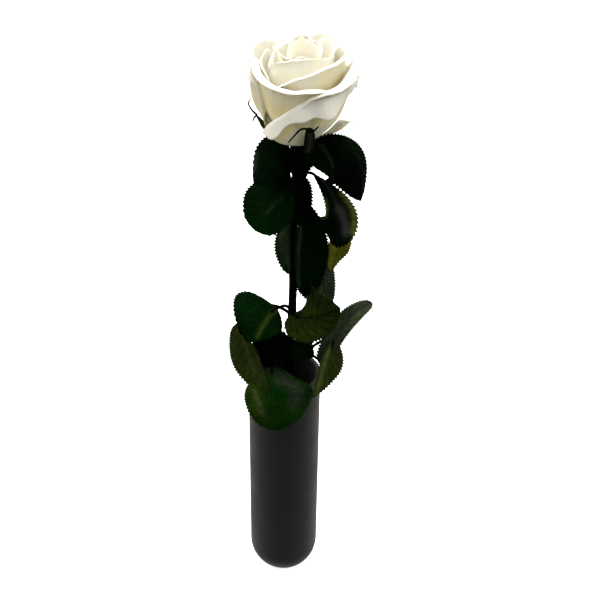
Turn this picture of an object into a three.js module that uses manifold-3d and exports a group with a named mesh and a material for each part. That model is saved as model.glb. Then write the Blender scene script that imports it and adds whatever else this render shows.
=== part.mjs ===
// A single preserved white rose standing in a slim, round-bottomed bud vase.
// Units are millimetres, +Z is up and the front looks along -Y. The origin is the centre of
// the vase's flat foot. The stem stands free on the vase's inner floor.

import * as THREE from "three";
import Module from "manifold-3d";

const wasm = await Module();
wasm.setup();

// Vase: a straight tube whose lower end is a half ball, cut flat where it stands.
const vaseRadius = 25;
const vaseHeight = 180;
const vaseWall = 2.8;
const vaseFootRadius = 17;
const vaseFloor = 7;
const vaseLipRound = 1.2;
const vaseSegments = 32;

// Stem: a line of points up to the hip under the flower, and its thickness on the way.
const stemPoints = [
  [0, 0, vaseFloor + 0.6],
  [1.9, 0, 95],
  [3.6, 0, 180],
  [4.9, 0, 233],
  [5.4, 0, 263],
  [5.1, 0, 300],
  [5.6, 0, 325],
  [7.4, 0, 342],
  [8.2, 0, 350],
];
const stemRadius = 2.8;
const stemTopRadius = 2.7;
const stemSides = 10;
const stemSteps = 16;

// Hip and calyx: the green swelling that carries the flower.
const hipCentre = [8.3, 0, 349.5];
const hipRadius = 6.2;
const hipHeight = 13.5;
const hipRows = 8;
const hipSegments = 14;

// Flower: where its base disc sits on the hip, how thick a petal is, and the core that all
// petals grow from, as radius and height about the base.
const flowerBase = [8, 0, 357];
const petalThickness = 0.8;
const flowerCore = [[0, 0], [4.6, 0], [6.4, 1.6], [7, 5], [6.6, 20], [6, 40], [3, 50], [0, 51]];
const flowerCoreSegments = 12;

// Leaves: the blade's thickness and where its rows of teeth begin and end, the stalks, and
// the teeth of one side: how many, how far out they reach and how far forward they lean.
const bladeThickness = 0.75;
const bladeRowsStart = 0.05;
const bladeRowsEnd = 0.93;
const stalkRadius = 1.15;
const stalkTipRadius = 0.8;
const stalkSides = 5;
const teethPerSide = 6;
const toothReach = 0.09;
const toothLean = 0.8;
const sepalTeeth = 3;
const sepalToothReach = 0.02;
const sepalTailRadius = 0.45;
const sepalTailSides = 5;
const sepalTailSteps = 8;

// Stalks, each a list of points from its root inside the stem to its last leaflet.
const stalks = [
  { name: "top leaf",
    points: [[5.6, 0, 321], [10, -3, 331], [13, -4.5, 338], [13, -7.5, 346], [11.5, -8, 351]] },
  { name: "top leaf left",
    points: [[12.5, -8, 347], [9, -9.5, 350.5], [4, -10, 351.7], [0, -11.5, 352.9]] },
  { name: "top leaf right",
    points: [[12, -8, 347], [12, -11, 351], [14.5, -12.5, 355.5], [19, -13.4, 358]] },
  { name: "top leaf middle", points: [[12.8, -7.8, 347.5], [12, -8.5, 350.5], [12.2, -10.5, 351.3]] },
  { name: "top leaf inner",
    points: [[10, -3, 331], [12.5, -3, 337], [16.5, -2.5, 336.5], [21.5, -3.4, 332]] },
  { name: "dark leaf", points: [[6, 0, 322], [9, 1, 332], [11, 1.5, 330], [11.5, 0, 325]] },
  { name: "left leaf", points: [[5.2, 0, 306], [3.5, -3.5, 320], [2, -5, 328], [-2, -9, 326]] },
  { name: "long leaf", points: [[5.2, 0, 303], [9, -3, 314], [12.5, -4.5, 315], [13.5, -6, 306.5]] },
  { name: "right pair",
    points: [[5.2, 0, 290], [17, 3, 299], [33, 5, 301], [38, 4, 296], [36.5, 2.9, 290]] },
  { name: "right pair inner",
    points: [[5.4, 0, 262], [10, 5, 271], [17, 9, 274], [20.5, 9, 269], [21, 8, 263]] },
  { name: "behind leaf", points: [[5.2, 0, 282], [4.8, 4, 292], [4, 7, 293], [1.8, 7.8, 287]] },
  { name: "whorl left", points: [[4.9, 0, 231], [0, -3, 237], [-5, -5, 236], [-8.8, -10.5, 236.8]] },
  { name: "whorl far left",
    points: [[4.9, 0, 228], [-6, 2, 233], [-22, 0, 234], [-31, -5, 226], [-29, -10, 218]] },
  { name: "whorl right", points: [[4.9, 0, 226], [3.6, -5, 231], [6, -7, 233], [9.5, -12.5, 234]] },
  { name: "rim right",
    points: [[4.1, 0, 194], [14, -3, 199], [22, -4.5, 194.5], [26.3, -5, 191], [28.3, -5.1, 197]] },
  { name: "rim right low",
    points: [[14, -3, 199], [24, 0, 205], [31, -1.5, 210], [33, -4, 210.5], [31.6, -8, 205.5]] },
  { name: "rim left", points: [[4.2, 0, 196], [5.5, -4, 203], [3, -6, 204], [-4, -7.5, 204]] },
  { name: "rim front", points: [[3.9, 0, 184], [-2, -6, 192], [-8, -12, 193], [-8.2, -19.8, 191.6]] },
  { name: "rim small", points: [[4.3, 0, 201], [6, -4, 208], [8.5, -6.5, 210], [10, -9, 209]] },
];

// Leaflets. bend is the control point of the midrib's curve and face is where the upper side
// looks. wide holds the two halves' widths, fold lifts them like an open book, and root and
// point shape the blade's two ends: the smaller the number, the rounder the end.
const leaflets = [
  { name: "top left", base: [3.7, -10.7, 351.7], bend: [-5.5, -15, 356.5], tip: [-19, -19, 338],
    face: [-0.27, -0.6, 0.75], wide: [23, 20], fold: -12, root: 0.35, point: 0.8 },
  { name: "top right", base: [10.5, -12.5, 353], bend: [46.5, -19.5, 381], tip: [46, -20, 327.5],
    face: [0.45, -0.6, 0.75], wide: [10.5, 23.5], fold: -16, root: 0.56, point: 0.66 },
  { name: "top middle", base: [12, -9, 351.5], bend: [13.5, -16, 352], tip: [6.5, -12.5, 337],
    face: [0, -0.85, 0.5], wide: [4.5, 15.5], fold: -8, root: 0.27, point: 0.7, teeth: 5 },
  { name: "left", base: [2, -5, 328], bend: [-9, -16, 328], tip: [-18.5, -18, 304],
    face: [-0.48, -0.85, 0.45], wide: [16.5, 18], fold: -6, root: 0.6, point: 0.42 },
  { name: "dark", base: [11, 2, 332], bend: [13.5, -3, 317], tip: [9.5, -3, 299],
    face: [-0.01, -0.9, 0.4], wide: [4.5, 7.5], fold: 6, root: 0.58, point: 0.67, teeth: 5 },
  { name: "long", base: [12, -4, 316], bend: [18, -12, 280], tip: [13, -10, 250],
    face: [0.26, -0.85, 0.45], wide: [12, 9], fold: 10, root: 0.6, point: 0.6 },
  { name: "folded right", base: [16, -2, 337], bend: [48, -10, 309], tip: [26.5, -6, 294.5],
    face: [-0.09, -0.9, 0.4], wide: [11.5, 12.5], fold: 18, root: 0.95, point: 0.28 },
  { name: "olive right", base: [38, 4, 295], bend: [33, 0, 280.5], tip: [30, 2, 261.5],
    face: [0.6, -0.9, 0.3], wide: [8.5, 9], fold: 8, root: 0.55, point: 0.9 },
  { name: "behind left", base: [4, 7, 295.5], bend: [-2, 9, 285], tip: [2, 9, 254],
    face: [-0.26, -0.85, 0.4], wide: [3.5, 7], fold: 6, root: 0.69, point: 0.59, teeth: 5 },
  { name: "behind right", base: [20, 9, 270], bend: [22, 6, 256], tip: [30, 8, 224],
    face: [0.1, -0.9, 0.4], wide: [9.5, 17], fold: 8, root: 0.55, point: 0.85 },
  { name: "whorl left", base: [-5, -5, 236], bend: [-14.5, -20, 240], tip: [-25, -22, 220.5],
    face: [-0.28, -0.8, 0.5], wide: [13, 25], fold: -6, root: 0.64, point: 0.86 },
  { name: "whorl right", base: [4, -6, 232], bend: [13.5, -20, 234], tip: [36, -26, 252],
    face: [0.38, -0.75, 0.6], wide: [25.5, 15.5], fold: -6, root: 0.61, point: 0.8 },
  { name: "rim rolled", base: [26, -5, 189], bend: [37, -6, 231], tip: [58.5, 2, 236.5],
    face: [-0.16, -0.6, 0.6], wide: [7.5, 7], fold: 24, root: 0.32, point: 0.45 },
  { name: "rim right", base: [33, -4, 210], bend: [29.5, -16, 196.5], tip: [18.5, -28, 178],
    face: [0.47, -0.8, 0.4], wide: [10.5, 5], fold: 12, root: 0.72, point: 1.03 },
  { name: "left long", base: [-31, -6, 225], bend: [-25.5, -16, 205.5], tip: [-9.5, -29, 179],
    face: [-0.6, -0.75, 0.4], wide: [7, 13.5], fold: 8, root: 0.66, point: 0.68 },
  { name: "rim front", base: [-8, -12, 193], bend: [-9, -34.6, 193.5], tip: [-4, -30.6, 151.5],
    face: [-0.05, -0.75, 0.65], wide: [26, 19.5], fold: -4, cup: -0.012, root: 0.75, point: 0.46 },
  { name: "rim inner left", base: [4, -5, 202], bend: [-11, -10, 207], tip: [-23, -10, 196],
    face: [0, -0.7, 0.7], wide: [11, 14.5], fold: 8, root: 0.55, point: 0.85, teeth: 5 },
  { name: "rim small", base: [8, -6, 210], bend: [10, -10, 209], tip: [20, -12, 201],
    face: [0, -0.7, 0.7], wide: [8, 8], fold: 8, root: 0.55, point: 0.85, teeth: 5 },
];

// Sepals: narrow pointed blades from the top of the hip, and the thin tails they end in.
const sepals = [
  { name: "front", base: [9.8, -2, 354.3], bend: [16, -25.5, 353.5], tip: [14, -29.5, 381.5],
    face: [0, -1, 0.3], wide: [3.6, 3.4], root: 0.45, point: 0.3 },
  { name: "left", base: [4.5, 2.5, 353.6], bend: [-8, 8, 353.5], tip: [-18, 0, 375],
    face: [-0.5, -0.9, 0.5], wide: [2.6, 2.6], root: 0.5, point: 0.7 },
  { name: "back", base: [8.8, 2, 354], bend: [10, 16, 354], tip: [10, 21, 343],
    face: [0, 0.6, 0.8], wide: [3.5, 3.5] },
  { name: "back left", base: [6.5, 2, 354], bend: [-6, 13, 354], tip: [-12, 18, 345],
    face: [-0.3, 0.5, 0.8], wide: [3, 3] },
];
const sepalTails = [
  { name: "front", points: [[14, -29.05, 378.6], [12, -30.6, 381], [9, -31.5, 381], [6, -31, 377.5],
    [2, -28.5, 371]] },
  { name: "front branch", points: [[14.4, -29, 378.2], [16.5, -29.6, 379.4], [19.3, -30, 382.2]] },
  { name: "left", points: [[-17.5, 0.3, 374.2], [-20.6, -3, 379.5], [-22.2, -4.5, 384.2], [-21, -5, 387]] },
  { name: "left branch", points: [[-17.2, 0.5, 373.6], [-18.8, 0, 373], [-20, 0, 370]] },
];

// Petals, from the tight heart outwards. rim is the line that the petal's edge follows, as
// azimuth in degrees (-90 is the front), radius and height about the flower's base. start is
// the radius of its root, belly is how far the wall swells past the rim, curl is the radius
// and the turn of the rolled edge, and flap is how far the edge hangs on past the roll.
const petals = [
  { name: "heart front", start: 1, belly: 1, curl: [1, 20],
    rim: [[-170, 5, 49], [-120, 5.5, 50], [-70, 5.5, 50], [-20, 5, 49]] },
  { name: "heart back", start: 1, belly: 1, curl: [1, 20],
    rim: [[0, 5, 50], [50, 5.5, 52], [110, 5, 52], [160, 5, 50]] },
  { name: "bud back", start: 2, belly: 1, curl: [1, 25],
    rim: [[187, 7.5, 58], [153, 7, 61], [118, 7.5, 64], [84, 8, 64.5], [55, 9.5, 63], [27, 11, 61],
      [0, 12, 58]] },
  { name: "bud front", start: 2, belly: 1, curl: [1, 30],
    rim: [[-172, 8, 56], [-126, 7, 55], [-80, 8, 56], [-40, 10, 57]] },
  { name: "inner front", start: 3, belly: 2, curl: [1.4, 90],
    rim: [[-171, 18, 48], [-154, 17.5, 52], [-126, 15, 55.5], [-90, 14, 57.5], [-57, 15.5, 58],
      [-29, 18.5, 57], [-5, 19, 56]] },
  { name: "inner left", start: 3, belly: 2, curl: [1.2, 60],
    rim: [[-155, 18.5, 46], [-177, 17.5, 52], [-191, 15.5, 54.5], [-211, 14, 56.5], [-234, 12.5, 58],
      [-262, 12, 58]] },
  { name: "inner low", start: 3, belly: 1, curl: [1, 40],
    rim: [[150, 19.5, 58], [164, 14, 56], [180, 10, 54.5], [234, 6.5, 54.5], [309, 9, 56]] },
  { name: "inner right", start: 3, belly: 2, curl: [1.2, 50],
    rim: [[-34, 14.5, 57.5], [-14, 16.5, 55], [6, 19.5, 57], [22, 21, 59], [38, 21, 60.5],
      [60, 19, 60]] },
  { name: "inner back", start: 3, belly: 2, curl: [1.2, 50],
    rim: [[30, 15, 57], [60, 14, 58], [95, 14, 58], [130, 15, 56]] },
  { name: "middle front", start: 4, belly: 3, curl: [2, 140],
    rim: [[-127, 22.5, 45], [-102, 21.5, 48], [-82, 21, 50.5], [-62, 21.5, 53.5], [-41, 23, 55.5],
      [-21, 24.5, 56.5], [-7, 26, 57.5], [14, 24.5, 58], [31, 22, 57]] },
  { name: "middle left", start: 4, belly: 3, curl: [1.3, 60],
    rim: [[-140, 22, 46], [-165, 22.5, 50], [-190, 22, 53], [-215, 21, 55]] },
  { name: "back right", start: 4, belly: 3, curl: [1.3, 70],
    rim: [[80, 20, 57], [66, 24, 58.5], [52, 25.5, 59], [39, 25, 58.5], [27, 26, 54], [14, 25, 50]] },
  { name: "middle back", start: 4, belly: 3, curl: [1.3, 70],
    rim: [[70, 19, 55], [95, 20, 55], [120, 20, 54], [150, 20, 53]] },
  { name: "cup front", start: 5, belly: 4, curl: [2.4, 165],
    rim: [[-176, 24.3, 57.4], [-158, 24.6, 49], [-141, 24.6, 45.8], [-125, 24.8, 44],
      [-108, 25.2, 43.4], [-88, 25, 43.2], [-70, 25.8, 43.5], [-50, 26.5, 45]] },
  { name: "cup left", start: 5, belly: 4, curl: [1.5, 60],
    rim: [[192, 27, 54.5], [177, 27.3, 56.8], [162, 27.6, 57.6], [146, 27.4, 57], [130, 27.2, 55.8],
      [117, 26.8, 53.2], [105, 26, 50]] },
  { name: "cup back", start: 5, belly: 4, curl: [1.8, 130],
    rim: [[130, 25, 50], [105, 26, 51], [80, 26, 51], [55, 26, 50]] },
  { name: "outer upper", start: 5.5, belly: 2.5, curl: [2.1, 150], flap: [0.5, 0.5, 1, 1.5, 2, 3, 2.5, 1, 0.5],
    rim: [[-90, 25.5, 38], [-76, 25.6, 40], [-62, 26.6, 42.3], [-45, 27.4, 43], [-32, 27.2, 44],
      [-20, 28.5, 47.2], [-10, 30, 50.5], [-2, 31.4, 53.4], [8, 28, 51]] },
  { name: "outer front", start: 5.5, belly: 0.5, curl: [2.2, 165], flap: [2, 9, 6.5, 7.5, 9.5, 7, 2.5, 1.5, 1, 1],
    rim: [[-136, 25, 21], [-117, 25, 25], [-102, 24.5, 31], [-82, 24, 36.5], [-63, 25.6, 38],
      [-43, 26.8, 38.2], [-27, 27.4, 39.5], [-17, 28, 41.5], [-6, 29.4, 42.5], [4, 28, 39]] },
  { name: "outer left", start: 5.5, belly: 5.5, curl: [1.8, 140], flap: [0, 0.5, 4, 8.5, 7, 1, 0],
    rim: [[-146, 23.5, 32], [-157, 25.5, 40], [-169, 27.6, 45], [-180, 28, 46.5], [-190, 28, 47],
      [-200, 28, 45], [-210, 27.5, 41]] },
  { name: "outer back", start: 5.5, belly: 4, curl: [2, 150], flap: [2, 5, 8, 8, 4],
    rim: [[150, 27, 42], [125, 28, 44], [95, 29, 45], [65, 29, 45], [35, 28, 43]] },
  { name: "outer right", start: 5.5, belly: -1, curl: [2, 140], flap: [2, 4, 4, 2],
    rim: [[50, 26, 43], [30, 28, 45], [10, 29, 46], [-8, 28, 43]] },
  { name: "guard front", start: 5, belly: 1, curl: [3, 10],
    rim: [[-140, 14, 13], [-115, 14, 15], [-90, 14, 15], [-65, 14, 15], [-45, 14, 13]] },
  { name: "guard right", start: 4, belly: -6, curl: [4, 90],
    rim: [[-12, 21, 17.6], [-8.5, 26, 14.4], [-4, 29.3, 13.8], [0, 26.5, 13.6], [4, 21, 13.2]] },
  { name: "guard left", start: 5, belly: 1, curl: [3, 10],
    rim: [[-140, 16, 14], [-160, 20, 19], [-180, 21, 21], [-205, 20, 18]] },
  { name: "guard back", start: 6, belly: 1, curl: [3, 60],
    rim: [[140, 22, 16], [110, 27, 20], [80, 28, 21], [50, 24, 16]] },
];

// How a petal is drawn between its root and its rim: the rows of its wall, the turn between
// two columns, how far and how deep its corners drop, and the two handles of the wall's curve.
const petalWallRows = [0, 0.35, 0.7, 1];
const petalColumnTurn = 36;
const petalShoulder = 5;
const petalShoulderReach = 0.14;
const petalRootSqueeze = 0.6;
const petalFootReach = 0.3;
const petalFootRise = 0.2;
const petalBellyRise = 0.45;
const petalRolledTurn = 80;
const petalCurlFineness = 6;

const colours = {
  vase: new THREE.MeshStandardMaterial({ color: 0x1c1f20, roughness: 0.55, metalness: 0 }),
  leaf: new THREE.MeshStandardMaterial({ color: 0x16301a, roughness: 0.5, metalness: 0 }),
  petal: new THREE.MeshStandardMaterial({ color: 0xf4f0e2, roughness: 0.7, metalness: 0 }),
};

const vector = (p) => new THREE.Vector3(p[0], p[1], p[2]);
const radians = THREE.MathUtils.degToRad;
const mix = THREE.MathUtils.lerp;
const smooth = (x) => THREE.MathUtils.smoothstep(x, 0, 1);

// A closed solid from a list of points and a list of triangles.
function solidFrom(points, triangles) {
  const vertProperties = new Float32Array(points.flatMap((p) => [p.x, p.y, p.z]));
  const triVerts = new Uint32Array(triangles.flat());
  const solid = new wasm.Manifold(new wasm.Mesh({ numProp: 3, vertProperties, triVerts }));
  return solid.volume() < 0 ? solidFrom(points, triangles.map(([a, b, c]) => [a, c, b])) : solid;
}

// A thin blade: the same triangles on both faces, moved apart along the normals, with a
// wall round its rim.
function bladeSolid(points, normals, triangles, rim, thickness) {
  const half = thickness / 2;
  const front = points.map((p, i) => p.clone().addScaledVector(normals[i], half));
  const back = points.map((p, i) => p.clone().addScaledVector(normals[i], -half));
  const shift = points.length;
  const faces = [];
  for (const [a, b, c] of triangles) {
    faces.push([a, b, c], [shift + a, shift + c, shift + b]);
  }
  rim.forEach((a, i) => {
    const b = rim[(i + 1) % rim.length];
    faces.push([b, a, shift + a], [b, shift + a, shift + b]);
  });
  return solidFrom([...front, ...back], faces);
}

// A round rod along a smooth line through the points, closed at both ends.
function rod(points, startRadius, endRadius, sides, steps) {
  const curve = new THREE.CatmullRomCurve3(points.map(vector));
  const frames = curve.computeFrenetFrames(steps, false);
  const vertices = [];
  const faces = [];
  for (let ring = 0; ring <= steps; ring += 1) {
    const centre = curve.getPointAt(ring / steps);
    const radius = mix(startRadius, endRadius, ring / steps);
    for (let side = 0; side < sides; side += 1) {
      const turn = (2 * Math.PI * side) / sides;
      vertices.push(centre.clone()
        .addScaledVector(frames.normals[ring], radius * Math.cos(turn))
        .addScaledVector(frames.binormals[ring], radius * Math.sin(turn)));
    }
  }
  for (let ring = 0; ring < steps; ring += 1) {
    for (let side = 0; side < sides; side += 1) {
      const a = ring * sides + side;
      const b = ring * sides + ((side + 1) % sides);
      faces.push([a, b, b + sides], [a, b + sides, a + sides]);
    }
  }
  for (let side = 1; side < sides - 1; side += 1) {
    const end = steps * sides;
    faces.push([0, side + 1, side], [end, end + side, end + side + 1]);
  }
  return solidFrom(vertices, faces);
}

// A turned solid from a profile of radius and height that starts and ends on the axis.
function turned(profile, segments) {
  const vertices = [];
  const faces = [];
  const rings = profile.map(([radius, height]) => {
    const first = vertices.length;
    const count = radius === 0 ? 1 : segments;
    for (let i = 0; i < count; i += 1) {
      const turn = (2 * Math.PI * i) / segments;
      vertices.push(new THREE.Vector3(radius * Math.cos(turn), radius * Math.sin(turn), height));
    }
    return { first, count };
  });
  for (let ring = 0; ring < rings.length - 1; ring += 1) {
    const low = rings[ring];
    const high = rings[ring + 1];
    for (let i = 0; i < segments; i += 1) {
      const next = (i + 1) % segments;
      const a = low.first + (low.count === 1 ? 0 : i);
      const b = low.first + (low.count === 1 ? 0 : next);
      const c = high.first + (high.count === 1 ? 0 : next);
      const d = high.first + (high.count === 1 ? 0 : i);
      if (a !== b) {
        faces.push([a, b, c]);
      }
      if (c !== d) {
        faces.push([a, c, d]);
      }
    }
  }
  return solidFrom(vertices, faces);
}

// How wide a blade is at a place along it, as a share of its widest.
function bladeShape({ root = 0.55, point = 0.85 }, along) {
  const outline = (t) => Math.pow(t, root) * Math.pow(1 - t, point);
  return outline(along) / outline(root / (root + point));
}

// The point at (along, across) of a leaf blade: along runs 0 to 1 from stalk to tip and
// across runs -1 to 1 from one edge to the other.
function leafPoint(leaf, along, across) {
  const rest = 1 - along;
  const base = vector(leaf.base);
  const bend = vector(leaf.bend);
  const tip = vector(leaf.tip);
  const rib = base.clone().multiplyScalar(rest * rest)
    .addScaledVector(bend, 2 * rest * along)
    .addScaledVector(tip, along * along);
  const tangent = bend.clone().sub(base).multiplyScalar(rest)
    .addScaledVector(tip.clone().sub(bend), along)
    .normalize();
  const side = new THREE.Vector3().crossVectors(tangent, vector(leaf.face)).normalize();
  const normal = new THREE.Vector3().crossVectors(side, tangent).normalize();
  const [left, right] = leaf.wide;
  const reach = Math.abs(across) * bladeShape(leaf, along) * (across > 0 ? right : left);
  const fold = radians(leaf.fold ?? 0);
  const out = Math.sign(across) * reach * Math.cos(fold);
  const lift = reach * Math.sin(fold) + (leaf.cup ?? 0) * reach * reach;
  return rib.addScaledVector(side, out).addScaledVector(normal, lift);
}

// The way that a blade's upper side looks at (along, across), from two small steps.
function leafNormal(leaf, along, across) {
  const step = 0.01;
  const low = Math.max(along - step, 0.001);
  const high = Math.min(along + step, 0.999);
  const left = across === 0 ? -0.3 : across - step;
  const right = across === 0 ? 0.3 : across + step;
  const middle = THREE.MathUtils.clamp(along, 0.02, 0.98);
  const length = leafPoint(leaf, high, across).sub(leafPoint(leaf, low, across));
  const width = leafPoint(leaf, middle, right).sub(leafPoint(leaf, middle, left));
  return width.cross(length).normalize();
}

// A toothed blade. Each row has a rib point, a point halfway out and an edge point on each
// side, and each tooth leans forward between two rows.
function leafBlade(leaf, teeth, reach) {
  const points = [];
  const normals = [];
  const faces = [];
  const put = (along, across) => {
    points.push(leafPoint(leaf, along, across));
    normals.push(leafNormal(leaf, along, across));
    return points.length - 1;
  };
  const base = put(0, 0);
  const rows = [];
  for (let i = 0; i <= teeth; i += 1) {
    const along = mix(bladeRowsStart, bladeRowsEnd, i / teeth);
    rows.push([-1, -0.5, 0, 0.5, 1].map((across) => put(along, across)));
  }
  const tip = put(1, 0);
  const leftTeeth = [];
  const rightTeeth = [];
  for (let i = 0; i < teeth; i += 1) {
    const along = mix(bladeRowsStart, bladeRowsEnd, (i + toothLean) / teeth);
    leftTeeth.push(put(along, -1 - reach));
    rightTeeth.push(put(along, 1 + reach));
  }
  for (let column = 0; column < 4; column += 1) {
    faces.push([base, rows[0][column], rows[0][column + 1]]);
    faces.push([tip, rows[teeth][column + 1], rows[teeth][column]]);
    for (let i = 0; i < teeth; i += 1) {
      const [a, b] = [rows[i][column], rows[i][column + 1]];
      const [d, c] = [rows[i + 1][column], rows[i + 1][column + 1]];
      faces.push([a, d, c], [a, c, b]);
    }
  }
  const left = [];
  const right = [];
  for (let i = 0; i < teeth; i += 1) {
    faces.push([rows[i][0], leftTeeth[i], rows[i + 1][0]]);
    faces.push([rows[i][4], rows[i + 1][4], rightTeeth[i]]);
    left.push(rows[i][0], leftTeeth[i]);
    right.push(rows[i][4], rightTeeth[i]);
  }
  const rim = [base, ...left, rows[teeth][0], tip, rows[teeth][4], ...right.reverse()];
  return bladeSolid(points, normals, faces, rim, bladeThickness);
}

// A smooth line through rows of numbers, at a share 0 to 1 of the way along them.
function smoothRow(rows, share) {
  const last = rows.length - 1;
  const place = THREE.MathUtils.clamp(share, 0, 1) * last;
  const first = Math.min(Math.floor(place), last - 1);
  const f = place - first;
  return rows[0].map((_, i) => {
    const at = (n) => {
      if (n < 0) {
        return 2 * rows[0][i] - rows[1][i];
      }
      return n > last ? 2 * rows[last][i] - rows[last - 1][i] : rows[n][i];
    };
    const [a, b, c, d] = [at(first - 1), at(first), at(first + 1), at(first + 2)];
    const square = 2 * a - 5 * b + 4 * c - d;
    const cube = 3 * b - a - 3 * c + d;
    return 0.5 * (2 * b + (c - a) * f + square * f ** 2 + cube * f ** 3);
  });
}

// One line up a petal at a share 0 to 1 of its rim: up the cupped wall, round the rolled
// edge and down the flap.
function petalLine(petal, share) {
  const [azimuth, rimRadius, rimHeight] = smoothRow(petal.rim, share);
  const [curlRadius, curlTurn] = petal.curl;
  const flap = petal.flap ? smoothRow(petal.flap.map((length) => [length]), share)[0] : 0;
  const middle = (petal.rim[0][0] + petal.rim[petal.rim.length - 1][0]) / 2;
  const rootAzimuth = mix(middle, azimuth, petalRootSqueeze);
  const edge = Math.max(1 - Math.min(share, 1 - share) / petalShoulderReach, 0);
  const top = rimHeight - petalShoulder * edge * edge;
  const wall = new THREE.CubicBezierCurve(
    new THREE.Vector2(petal.start, 0),
    new THREE.Vector2(mix(petal.start, rimRadius, petalFootReach), petalFootRise * top),
    new THREE.Vector2(rimRadius + petal.belly, petalBellyRise * top),
    new THREE.Vector2(rimRadius, top),
  );
  const place = (point, turn) => new THREE.Vector3(
    point.x * Math.cos(radians(turn)),
    point.x * Math.sin(radians(turn)),
    point.y,
  );
  const line = petalWallRows.map((up) => place(wall.getPoint(up), mix(rootAzimuth, azimuth, smooth(up))));
  const steps = curlTurn > petalRolledTurn ? 3 : 1;
  const curlLength = curlRadius * radians(curlTurn);
  const step = (curlLength + flap) / steps / petalCurlFineness;
  const lean = Math.atan2(-petal.belly, (1 - petalBellyRise) * top);
  const point = new THREE.Vector2(rimRadius, top);
  for (let i = 1; i <= steps * petalCurlFineness; i += 1) {
    const angle = lean + radians(curlTurn) * Math.min(((i - 0.5) * step) / curlLength, 1);
    point.x += step * Math.sin(angle);
    point.y += step * Math.cos(angle);
    if (i % petalCurlFineness === 0) {
      line.push(place(point, azimuth));
    }
  }
  return line;
}

function petalBlade(petal) {
  const nudge = 0.01;
  const turn = Math.abs(petal.rim[petal.rim.length - 1][0] - petal.rim[0][0]);
  const columnCount = Math.max(Math.round(turn / petalColumnTurn), 3);
  const points = [];
  const normals = [];
  const columns = [];
  for (let i = 0; i <= columnCount; i += 1) {
    const share = i / columnCount;
    const line = petalLine(petal, share);
    const before = petalLine(petal, Math.max(share - nudge, 0));
    const after = petalLine(petal, Math.min(share + nudge, 1));
    columns.push(line.map((spot, j) => {
      const rise = line[Math.min(j + 1, line.length - 1)].clone().sub(line[Math.max(j - 1, 0)]);
      const width = after[j].clone().sub(before[j]);
      points.push(spot);
      normals.push(width.cross(rise).normalize());
      return points.length - 1;
    }));
  }
  const rows = columns[0].length - 1;
  const faces = [];
  for (let i = 0; i < columnCount; i += 1) {
    for (let j = 0; j < rows; j += 1) {
      const [a, b, c, d] = [columns[i][j], columns[i + 1][j], columns[i + 1][j + 1], columns[i][j + 1]];
      faces.push([a, b, c], [a, c, d]);
    }
  }
  const rim = [
    ...columns.map((column) => column[0]),
    ...columns[columnCount].slice(1, rows),
    ...columns.map((column) => column[rows]).reverse(),
    ...columns[0].slice(1, rows).reverse(),
  ];
  return bladeSolid(points, normals, faces, rim, petalThickness);
}

// Everything joined into one solid, with any sealed hollow inside it filled.
function joined(solids) {
  let whole = solids[0];
  for (const solid of solids.slice(1)) {
    whole = whole.add(solid);
  }
  const shells = whole.decompose().filter((shell) => shell.volume() > 0);
  if (shells.length > 1) {
    const places = shells.map((shell) => JSON.stringify(shell.boundingBox()));
    throw new Error(`Pieces hang apart: ${places.join(" ")}`);
  }
  return shells[0];
}

function meshFrom(name, solid, material) {
  const { vertProperties, triVerts } = solid.getMesh();
  const geometry = new THREE.BufferGeometry();
  geometry.setAttribute("position", new THREE.Float32BufferAttribute(vertProperties, 3));
  geometry.setIndex([...triVerts]);
  geometry.computeVertexNormals();
  const mesh = new THREE.Mesh(geometry, material);
  mesh.name = name;
  return mesh;
}

// Points on a round corner about a centre, between two angles in degrees.
function arc(radius, centre, height, from, to, steps) {
  return Array.from({ length: steps + 1 }, (_, i) => {
    const angle = radians(mix(from, to, i / steps));
    return [centre + radius * Math.cos(angle), height + radius * Math.sin(angle)];
  });
}

function makeVase() {
  const domeHeight = Math.sqrt(vaseRadius ** 2 - vaseFootRadius ** 2);
  const innerRadius = vaseRadius - vaseWall;
  const footAngle = -THREE.MathUtils.radToDeg(Math.asin(domeHeight / vaseRadius));
  const lip = vaseHeight - vaseLipRound;
  const profile = [
    [0, 0],
    ...arc(vaseRadius, 0, domeHeight, footAngle, 0, 6),
    ...arc(vaseLipRound, vaseRadius - vaseLipRound, lip, 0, 90, 3),
    ...arc(vaseLipRound, innerRadius + vaseLipRound, lip, 90, 180, 3),
    ...arc(innerRadius, 0, vaseFloor + innerRadius, 0, -82, 6),
    [0, vaseFloor],
  ];
  return turned(profile, vaseSegments);
}

function makeHip() {
  const profile = [[0, -hipHeight / 2]];
  for (let i = 1; i < hipRows; i += 1) {
    const angle = radians(-90 + (180 * i) / hipRows);
    profile.push([hipRadius * Math.cos(angle), (hipHeight / 2) * Math.sin(angle)]);
  }
  profile.push([0, hipHeight / 2]);
  return turned(profile, hipSegments).translate(hipCentre);
}

function makeLeafyStem() {
  const solids = [rod(stemPoints, stemRadius, stemTopRadius, stemSides, stemSteps), makeHip()];
  for (const stalk of stalks) {
    solids.push(rod(stalk.points, stalkRadius, stalkTipRadius, stalkSides, 2 * stalk.points.length - 2));
  }
  for (const leaf of leaflets) {
    solids.push(leafBlade(leaf, leaf.teeth ?? teethPerSide, toothReach));
  }
  for (const sepal of sepals) {
    solids.push(leafBlade(sepal, sepalTeeth, sepalToothReach));
  }
  for (const tail of sepalTails) {
    solids.push(rod(tail.points, sepalTailRadius, sepalTailRadius, sepalTailSides, sepalTailSteps));
  }
  return joined(solids);
}

function makeBloom() {
  const core = turned(flowerCore, flowerCoreSegments);
  const head = joined([core, ...petals.map(petalBlade)]);
  return head.translate(flowerBase);
}

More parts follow.
